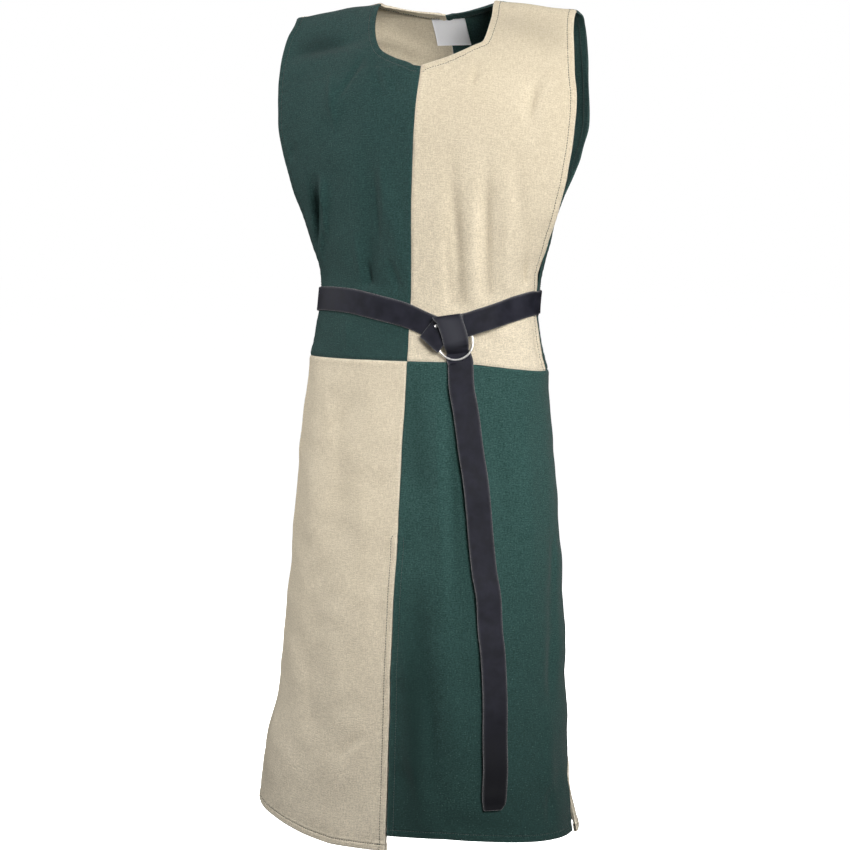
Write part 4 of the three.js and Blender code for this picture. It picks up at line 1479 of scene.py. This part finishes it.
@dataclass(frozen=True)
class StrapSection:
    """The cross-section of the leather strap: rounded corners, a slight crown, pale cut sides."""

    half_width: float = 17.5
    thickness: float = 3.0
    crown: float = 0.18
    upper_corner: float = 0.75
    upper_from: float = 0.92
    lower_corner: float = 0.55
    lower_from: float = 0.93
    corner_power: float = 1.5
    cut_span: tuple[float, float] = (0.9, 0.995)

    def across(self) -> np.ndarray:
        """Shares of the half width, close together at the cut sides."""
        return np.array([-1, -0.975, -0.93, -0.8, -0.5, -0.17, 0.17, 0.5, 0.8, 0.93, 0.975, 1])

    def top(self, thickness: float) -> np.ndarray:
        """Height of the grain side: full, less a round corner at each cut side."""
        corner = self.upper_corner * ramp(np.abs(self.across()), self.upper_from, 1.0) ** self.corner_power
        return thickness + self.crown * (1 - self.across() ** 2) - corner

    def foot(self) -> np.ndarray:
        """Height of the flesh side, with the lower corners rounded."""
        return self.lower_corner * ramp(np.abs(self.across()), self.lower_from, 1.0) ** self.corner_power

    def cut(self) -> np.ndarray:
        """1 on the raw side, 0 on the faces."""
        return ramp(np.abs(self.across()), *self.cut_span)


SECTION = StrapSection()


def dressed(skin: Skin, name: str, finish: bpy.types.Material, node: str) -> bpy.types.Object:
    """Makes a piece from a skin, rides it on the body and hides the imported part of its node.

    Args:
        skin: the piece's surface.
        name: the piece's name.
        finish: its material.
        node: the node it stands for.

    Returns:
        The piece.
    """
    piece = skin.outside_out().object(name)
    piece.data.materials.append(finish)
    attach(piece, "root")
    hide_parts(node)
    LOG.info("%s: %d faces", name, len(skin.faces))
    return piece


@dataclass
class WaistStrap:
    """The strap round the waist, from the ring's left strand round the back to the right one."""

    left_end: float = 0.175
    right_end: float = 0.30
    off_cloth: float = 0.45
    rise_from: float = 0.68
    rise_to: float = 0.47
    rise: float = 12.1
    step: float = 0.02

    def skin(self) -> Skin:
        """Lays the section's points along and across the cloth's own belt line.

        Returns:
            The closed strap.
        """
        front_right = np.append(np.arange(self.left_end, -1, -self.step), -1.0)
        back = np.linspace(-1, 1, 101)
        front_left = np.append(np.arange(1, self.right_end, -self.step), self.right_end)
        runs = [
            self.run(Face.FRONT, front_right, 0 * front_right),
            self.run(Face.BACK, back, 0 * back),
            self.run(Face.FRONT, front_left, self.rise * ramp(-front_left, -self.rise_from, -self.rise_to)),
        ]
        outer = np.concatenate([first for first, _ in runs])
        inner = np.concatenate([second for _, second in runs])
        cut = np.repeat(SECTION.cut()[None], len(outer), axis=0)
        cut[[0, -1]] = 1.0
        return Skin.between(outer, inner, {"cut": cut})

    def run(self, face: Face, s: np.ndarray, rise: np.ndarray) -> tuple[np.ndarray, np.ndarray]:
        """One stretch of the strap on one face.

        Args:
            face: front or back.
            s: its stations.
            rise: millimetres that each stands off the cloth.

        Returns:
            The grain side's and the flesh side's points.
        """
        level = BELT_LEVEL[face].read("t", s)
        above = FORM.at(face, s, level - FORM.probe, 0 * s)
        below = FORM.at(face, s, level + FORM.probe, 0 * s)
        per_level = np.linalg.norm(above - below, axis=-1) / (2 * FORM.probe)
        v = level[:, None] + SECTION.half_width * SECTION.across() / per_level[:, None]
        s_grid = np.repeat(s[:, None], v.shape[1], axis=1)
        off = self.off_cloth + rise[:, None]
        return (
            FORM.at(face, s_grid, v, off + SECTION.top(SECTION.thickness)),
            FORM.at(face, s_grid, v, off + SECTION.foot()),
        )


@dataclass
class HangingStrap:
    """A strap that follows named stations over the front, such as the tail or the folded end."""

    stations: SmoothTable
    steps: int
    thickness: float = 3.0
    width_share: float = 1.0
    bend: float = 0.0
    hangs: tuple[float, float, float, float] = (9, 12, 25, 27)
    wraps: tuple[float, float, float, float] = (0, 1.5, 4, 7)
    # Stations over which the painted shade towards the foot rises.
    loose: tuple[float, float] = (20, 25)

    def skin(self) -> Skin:
        """Carries the section along the stations, its width square to the line it follows.

        Leather that hangs free has soft bends: the sum of two sines of unlike period. Its marks carry a
        painted highlight where it wraps round the ring and painted shade towards its foot.

        Returns:
            The closed strap.
        """
        k = np.linspace(self.stations.key[0], self.stations.key[-1], self.steps)
        s, v, out = (self.stations.read(name, k) for name in ("s", "v", "out"))
        narrow, shift = self.stations.read("narrow", k), self.stations.read("shift", k)
        supple = self.bend * window(k, *self.hangs) * (1 + (np.sin(2.1 * k) + np.sin(3.7 * k + 1)) / 2)
        centre = FORM.at(Face.FRONT, s, v, out + supple)
        ahead = unit(np.gradient(centre, axis=0))
        wide = unit(np.cross(ahead, FORM.normal_at(Face.FRONT, s, v)))
        up = unit(np.cross(wide, ahead))
        reach = SECTION.half_width * self.width_share * narrow[:, None] * SECTION.across() + shift[:, None]
        slant = self.stations.read("slant", k)[:, None] * reach * np.sign(wide[:, :1])
        base = centre[:, None] + wide[:, None] * reach[..., None] + ahead[:, None] * slant[..., None]
        outer = base + up[:, None] * SECTION.top(self.thickness)[:, None]
        inner = base + up[:, None] * SECTION.foot()[:, None]
        cut = np.repeat(SECTION.cut()[None], len(k), axis=0)
        cut[[0, -1]] = 1.0
        marks = {"cut": cut}
        if self.bend:
            # Painted highlight across the wrap, strongest mid-width.
            marks["bent"] = window(k, *self.wraps)[:, None] * (1 - 0.75 * SECTION.across() ** 2)
            # Painted shade, rising towards the tail's foot.
            marks["loose"] = 0 * cut + ramp(k, *self.loose)[:, None]
        return Skin.between(outer, inner, marks)


STRAP_COLUMNS = ["k", "s", "v", "out", "narrow", "shift", "slant"]
TAIL = SmoothTable(STRAP_COLUMNS, [
    [0, 0.221, 0.767, 16.8, 1, 0, 0.48], [1, 0.234, 0.774, 17.2, 1, 0, 0.40],
    [2, 0.248, 0.787, 17.2, 1, 0, 0.26], [3, 0.261, 0.803, 17.2, 1, 0, 0.12],
    [4, 0.270, 0.820, 16.8, 1, 0, 0], [5, 0.277, 0.848, 15.2, 0.95, 0, 0],
    [6, 0.279, 0.878, 8.6, 0.88, 0, 0], [7, 0.279, 0.900, 2.4, 0.92, 0, 0],
    [8, 0.279, 0.930, 1.0, 1, 0, 0], [9, 0.279, 0.968, 1.3, 1, 0, 0],
    [10, 0.285, 1.022, 1.8, 1, 0, 0], [11, 0.293, 1.050, 2.6, 1, 0, 0],
    [12, 0.309, 1.077, 3.0, 1, 0, 0], [13, 0.323, 1.106, 3.2, 1, 0, 0],
    [14, 0.343, 1.164, 3.2, 1, 0, 0], [15, 0.366, 1.224, 3.2, 1, 0, 0],
    [16, 0.380, 1.284, 3.2, 1, 0, 0], [17, 0.391, 1.344, 3.0, 1, 0, 0],
    [18, 0.406, 1.405, 3.0, 1, 0, 0], [19, 0.428, 1.465, 3.0, 1, 0, 0],
    [20, 0.436, 1.527, 3.0, 1, 0, 0], [21, 0.450, 1.591, 3.0, 1, 0, 0],
    [22, 0.458, 1.691, 3.0, 1, 0, 0], [23, 0.457, 1.758, 3.0, 1, 0, 0],
    [24, 0.457, 1.825, 3.0, 1, 0, 0], [25, 0.450, 1.881, 3.0, 1, 0, 0],
    [26, 0.446, 1.910, 3.0, 0.93, 0, 0], [27, 0.445, 1.926, 3.0, 0.72, 2.2, 0],
])
FLAP = SmoothTable(STRAP_COLUMNS, [
    [0, 0.109, 0.812, 7.4, 1, 0, 0], [1, 0.136, 0.818, 10.2, 1, 0, 0], [2, 0.161, 0.826, 12.2, 1, 0, 0],
    [3, 0.186, 0.837, 12.8, 1, 0, 0], [4, 0.207, 0.853, 12.8, 1, 0, 0],
])


@dataclass
class RingBelt:
    """The ring belt: strap, folded end with its rivet, ring and hanging tail."""

    strap: WaistStrap = field(default_factory=WaistStrap)
    tail: HangingStrap = field(default_factory=lambda: HangingStrap(TAIL, 300, bend=0.7))
    flap: HangingStrap = field(default_factory=lambda: HangingStrap(FLAP, 40, 2.4, 0.86))
    ring_radius: float = 24.2
    ring_wire: float = 1.4
    ring_out: float = 6.8
    rivet_radius: float = 2.5
    rivet_out: float = 12.9
    rivet_height: float = 1.0
    rivet_place: tuple[float, float] = (0.162, 0.797)
    ring_steps: int = 120
    wire_steps: int = 20

    def ring(self) -> Skin:
        """A circle of wire across four rest points of the cloth round the knot.

        Returns:
            The closed ring.
        """
        rest = np.array([[0.249, 0.789], [0.275, 0.961], [0.165, 0.8226], [0.372, 0.8226]])
        top, bottom, left, right = FORM.at(Face.FRONT, rest[:, 0], rest[:, 1], np.zeros(4))
        normal = unit(np.cross(bottom - top, right - left))
        centre = (top + bottom) / 2 + normal * self.ring_out
        first = unit(bottom - top)
        second = np.cross(normal, first)
        turn, round_wire = (np.arange(n) * 2 * np.pi / n for n in (self.ring_steps, self.wire_steps))
        spoke = first * np.cos(turn)[:, None] + second * np.sin(turn)[:, None]
        lean = spoke[:, None] * np.cos(round_wire)[:, None] + normal * np.sin(round_wire)[:, None]
        points = centre + spoke[:, None] * self.ring_radius + lean * self.ring_wire
        return Skin(points.reshape(-1, 3), ring_faces(self.ring_steps, self.wire_steps, True))

    def rivet(self) -> Skin:
        """A low dome over a disc: a square grid drawn out to a circle, as high as a sphere's cap.

        Returns:
            The closed rivet head.
        """
        a, b = np.meshgrid(np.linspace(-1, 1, 25), np.linspace(-1, 1, 25), indexing="ij")
        x, y = a * np.sqrt(1 - b * b / 2), b * np.sqrt(1 - a * a / 2)
        centre = FORM.at(Face.FRONT, *self.rivet_place, self.rivet_out)
        start, then = FORM.at(Face.FRONT, *(FLAP.columns[name][:2] for name in ("s", "v", "out")))
        ahead = unit(then - start)
        normal = unit(np.cross(np.cross(ahead, FORM.normal_at(Face.FRONT, *self.rivet_place)), ahead))
        first = unit(np.cross(normal, np.array([0.0, 0.0, 1.0])))
        second = np.cross(normal, first)
        flat = centre + self.rivet_radius * (x[..., None] * first + y[..., None] * second)
        cap = self.rivet_height * np.sqrt(np.maximum(1 - 0.96 * (x * x + y * y), 0))
        outer = flat + normal * (cap + 0.15)[..., None]
        return Skin.between(outer, flat, {})

    def build(self, leather: LeatherFinish, steel: SteelFinish) -> None:
        """Makes the belt's pieces and dresses them.

        Args:
            leather: the strap's finish.
            steel: the ring's and rivet's finish.
        """
        hide, plated = leather.build(), steel.build()
        dressed(self.strap.skin(), "belt_strap", hide, "belt_waist")
        dressed(self.flap.skin(), "belt_folded_end", hide, "belt_flap")
        dressed(self.tail.skin(), "belt_hanging_tail", hide, "belt_tail")
        dressed(self.ring(), "belt_wire_ring", plated, "belt_ring")
        dressed(self.rivet(), "belt_rivet_head", plated, "belt_rivet")


@dataclass
class NeckLabel:
    """The bare woven tape sewn inside the back neck."""

    left: float = -22.0
    width: float = 49.0
    height: float = 35.0
    top: float = 0.099
    bottom: float = 0.179
    slant: float = 1.0
    thickness: float = 0.7
    off: float = 0.6
    per_share: float = 208.0
    rim_depth: float = 22.0
    rim_span: tuple[float, float] = (1.5, 3.5)
    rim_swell: float = 0.35
    ripple: float = 0.25
    ripple_rate: float = 9.0
    ripple_from: float = 6.0
    swell_inside: float = 0.4
    rows: int = 28
    columns: int = 36

    def build(self, tape: TapeFinish) -> None:
        """Lays the tape inside the back and dresses it.

        Args:
            tape: its finish.
        """
        down, over = np.meshgrid(*(np.linspace(0, 1, n) for n in (self.rows, self.columns)), indexing="ij")
        x = self.left + self.width * over + self.slant * down
        t = self.top + (self.bottom - self.top) * down
        to_ends = np.minimum(down, 1 - down) * self.rim_depth
        rim = np.minimum(to_ends, np.minimum(over, 1 - over) * self.width)
        rippled = self.ripple * np.sin(self.ripple_rate * over) * ramp(rim, 0, self.ripple_from)
        swell = self.rim_swell * (1 - ramp(rim, *self.rim_span)) + rippled
        inside = -CLOTH_WALL - self.off
        place = (Face.BACK, Level.UPPER, x / self.per_share, t)
        outer = FORM.point(*place, np.full(x.shape, inside))
        inner = FORM.point(*place, inside - self.thickness - self.swell_inside * swell)
        uv = np.stack([over * self.width, down * self.height], axis=-1) * METRE
        skin = Skin.between(outer, inner, {}, uv)
        piece = dressed(skin, "neck_label_tape", tape.build(), "neck_label")


@dataclass
class Studio:
    """Pale floor, soft lamps and the camera."""

    floor_height: float = -1.46
    azimuth: float = 17.0
    distance: float = 3000.0
    eye_height: float = -300.0
    aim_height: float = -597.0
    aim_left: float = 12.3
    roll: float = 0.45
    focal_pixels: float = 2100.0
    frame_pixels: float = 850.0
    sensor: float = 36.0
    lamp_aim: float = -0.45

    def floor(self) -> None:
        """Lays the floor."""
        bpy.ops.mesh.primitive_plane_add(size=60, location=(0, 0, self.floor_height))
        floor = bpy.context.object
        floor.name = "studio_floor"
        kit = Nodes("pale_floor")
        mottled = kit.noise(kit.coordinates("Object"), (3.0, 3.0, 3.0), 2.0)
        kit.paint(kit.mix(mottled, (0.93, 0.93, 0.93), (0.96, 0.96, 0.96)))
        kit.shader.inputs["Emission Color"].default_value = (1.0, 1.0, 1.0, 1.0)
        kit.shader.inputs["Emission Strength"].default_value = 1.0
        floor.data.materials.append(kit.material)
        floor.visible_diffuse = False
        floor.visible_glossy = False

    def lamp(self, name: str, place: Vector, size: float, power: float, warm: float = 0.0) -> None:
        """Adds one square lamp that faces the garment's chest.

        Args:
            name: its name.
            place: where it stands, in metres.
            size: its side, in metres.
            power: watts.
            warm: how much redder than white.
        """
        data = bpy.data.lights.new(name, "AREA")
        data.shape, data.size, data.energy = "SQUARE", size, power
        data.color = (1.0, 1.0 - 0.5 * warm, 1.0 - warm)
        made = bpy.data.objects.new(name, data)
        bpy.context.scene.collection.objects.link(made)
        back = unit(np.array(place) - np.array([0.0, 0.0, self.lamp_aim]))
        right = unit(np.cross([0.0, 0.0, 1.0], back))
        made.matrix_world = self.frame(right, np.cross(back, right), back, np.array(place))

    def frame(self, right: np.ndarray, up: np.ndarray, back: np.ndarray, place: np.ndarray) -> Matrix:
        """The matrix with these three axes and place."""
        rows = np.column_stack([right, up, back, place])
        return Matrix([*rows.tolist(), [0, 0, 0, 1]])

    def camera(self) -> None:
        """Sets the camera on its distance, turned by the azimuth and rolled a little."""
        turn, lean = math.radians(self.azimuth), math.radians(self.roll)
        place = np.array([math.sin(turn), -math.cos(turn), 0]) * self.distance + [0, 0, self.eye_height]
        aside = np.array([math.cos(turn), math.sin(turn), 0])
        ahead = unit(np.array([0, 0, self.aim_height]) - self.aim_left * aside - place)
        right = unit(np.cross(ahead, [0.0, 0.0, 1.0]))
        up = np.cross(right, ahead)
        tilted = math.cos(lean) * right + math.sin(lean) * up
        upright = math.cos(lean) * up - math.sin(lean) * right
        data = bpy.data.cameras.new("studio_camera")
        data.sensor_width = self.sensor
        data.lens = self.focal_pixels * self.sensor / self.frame_pixels
        data.clip_end = 100.0
        made = bpy.data.objects.new("studio_camera", data)
        bpy.context.scene.collection.objects.link(made)
        made.matrix_world = self.frame(tilted, upright, -ahead, place * METRE)
        bpy.context.scene.camera = made

    def build(self) -> None:
        """Sets up the world, the floor, the lamps and the camera."""
        world = bpy.data.worlds.new("studio_world")
        bpy.context.scene.world = world
        world.use_nodes = True
        sky = world.node_tree.nodes["Background"]
        sky.inputs["Color"].default_value = (1, 1, 1, 1)
        sky.inputs["Strength"].default_value = 1.0
        world.cycles_visibility.diffuse = False
        world.cycles_visibility.glossy = False
        bpy.context.scene.view_settings.view_transform = "Standard"
        self.floor()
        self.lamp("key_lamp", (1.9, -2.4, 0.6), 1.3, 116.0, 0.02)
        self.lamp("side_lamp", (2.9, -1.0, 0.4), 1.6, 22.0)
        self.lamp("far_side_lamp", (-3.0, -0.8, 0.4), 1.8, 88.0)
        self.lamp("top_lamp", (0.4, -2.0, 2.2), 1.8, 7.0)
        self.lamp("back_lamp", (-0.8, 2.8, 0.6), 2.2, 110.0)
        self.camera()


GREEN = CanvasFinish(
    "green_canvas", "cloth_green", (0.031, 0.074, 0.068), (0.014, 0.039, 0.037), (0.070, 0.125, 0.112),
    (0.048, 0.096, 0.087), (0.029, 0.070, 0.065), 0.34,
)
# The skirt's copy of the green canvas: lighter, as painted light, with a much darker foot as painted shade
# towards the hem.
GREEN_SKIRT_PAINTED_LIGHT = CanvasFinish(
    "green_skirt_canvas", "cloth_green", (0.045, 0.106, 0.096), (0.020, 0.055, 0.050), (0.085, 0.150, 0.133),
    (0.062, 0.122, 0.110), (0.017, 0.044, 0.040), 0.34,
)
# Its foot colour is lighter than its base: painted light lower on the chest, painted shade at the shoulders.
NATURAL = CanvasFinish(
    "natural_canvas", "cloth_natural", (0.765, 0.68, 0.52), (0.58, 0.495, 0.355), (0.38, 0.29, 0.19),
    (0.80, 0.74, 0.62), (0.85, 0.755, 0.585), 0.36,
)
# The skirt's copy of the natural canvas: a little lighter, as painted light, with a darker foot as painted
# shade towards the hem.
NATURAL_SKIRT_PAINTED_LIGHT = CanvasFinish(
    "natural_skirt_canvas", "cloth_natural", (0.80, 0.71, 0.55), (0.60, 0.52, 0.385), (0.38, 0.30, 0.2),
    (0.84, 0.78, 0.65), (0.66, 0.59, 0.465), 0.37,
)
GREEN_THREAD = ThreadFinish("green_thread", "cloth_green", (0.022, 0.045, 0.041), (0.010, 0.024, 0.022))
DARK_THREAD = ThreadFinish("dark_thread", "cloth_natural", (0.045, 0.055, 0.05), (0.015, 0.02, 0.018))
# The last colour is the painted highlight on the wrap round the ring.
LEATHER = LeatherFinish(
    "strap_leather", "belt_leather", (0.0205, 0.021, 0.031), (0.0115, 0.012, 0.018), (0.16, 0.16, 0.165),
    (0.041, 0.042, 0.052),
)
STEEL = SteelFinish("plated_wire", "ring_steel", (0.9, 0.89, 0.87), (0.72, 0.71, 0.69))
TAPE = TapeFinish("label_tape", "label_tape", (0.97, 0.97, 0.98), (0.90, 0.90, 0.93))
UPPER_RIGHT = (Level.UPPER, Side.RIGHT)
UPPER_LEFT = (Level.UPPER, Side.LEFT)
LOWER_RIGHT = (Level.LOWER, Side.RIGHT)
LOWER_LEFT = (Level.LOWER, Side.LEFT)
PANELS = [
    (CanvasPanel(Face.FRONT, *UPPER_RIGHT, (0.262, 0.545), 0.1018, 1.0), GREEN),
    (CanvasPanel(Face.FRONT, *UPPER_LEFT, (0.262, 0.545), 0.1002, 2.0), NATURAL),
    (CanvasPanel(Face.FRONT, *LOWER_RIGHT, (0.315, 0.680), 0.1743, 3.0), NATURAL_SKIRT_PAINTED_LIGHT),
    (CanvasPanel(Face.FRONT, *LOWER_LEFT, (0.340, 0.670), 0.1887, 4.0), GREEN_SKIRT_PAINTED_LIGHT),
    (CanvasPanel(Face.BACK, *UPPER_RIGHT, (0.245, 0.560), 0.1060, 5.0), NATURAL),
    (CanvasPanel(Face.BACK, *UPPER_LEFT, (0.250, 0.560), 0.1094, 6.0), GREEN),
    (CanvasPanel(Face.BACK, *LOWER_RIGHT, (0.310, 0.655), 0.1723, 7.0), GREEN_SKIRT_PAINTED_LIGHT),
    (CanvasPanel(Face.BACK, *LOWER_LEFT, (0.265, 0.655), 0.1492, 8.0), NATURAL_SKIRT_PAINTED_LIGHT),
]


def main() -> None:
    """Builds the tabard on its frame."""
    logging.basicConfig(level=logging.INFO, format="%(name)s: %(message)s")
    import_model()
    Studio().build()
    cloths = {finish.name: finish.build() for finish in (GREEN, GREEN_SKIRT_PAINTED_LIGHT, NATURAL, NATURAL_SKIRT_PAINTED_LIGHT)}
    threads = {finish.slot: finish.build() for finish in (GREEN_THREAD, DARK_THREAD)}
    for panel, finish in PANELS:
        panel.build(cloths[finish.name], threads[finish.slot], finish)
    NeckLabel().build(TAPE)
    RingBelt().build(LEATHER, STEEL)
    bpy.context.view_layer.update()


if __name__ == "__main__":
    main()
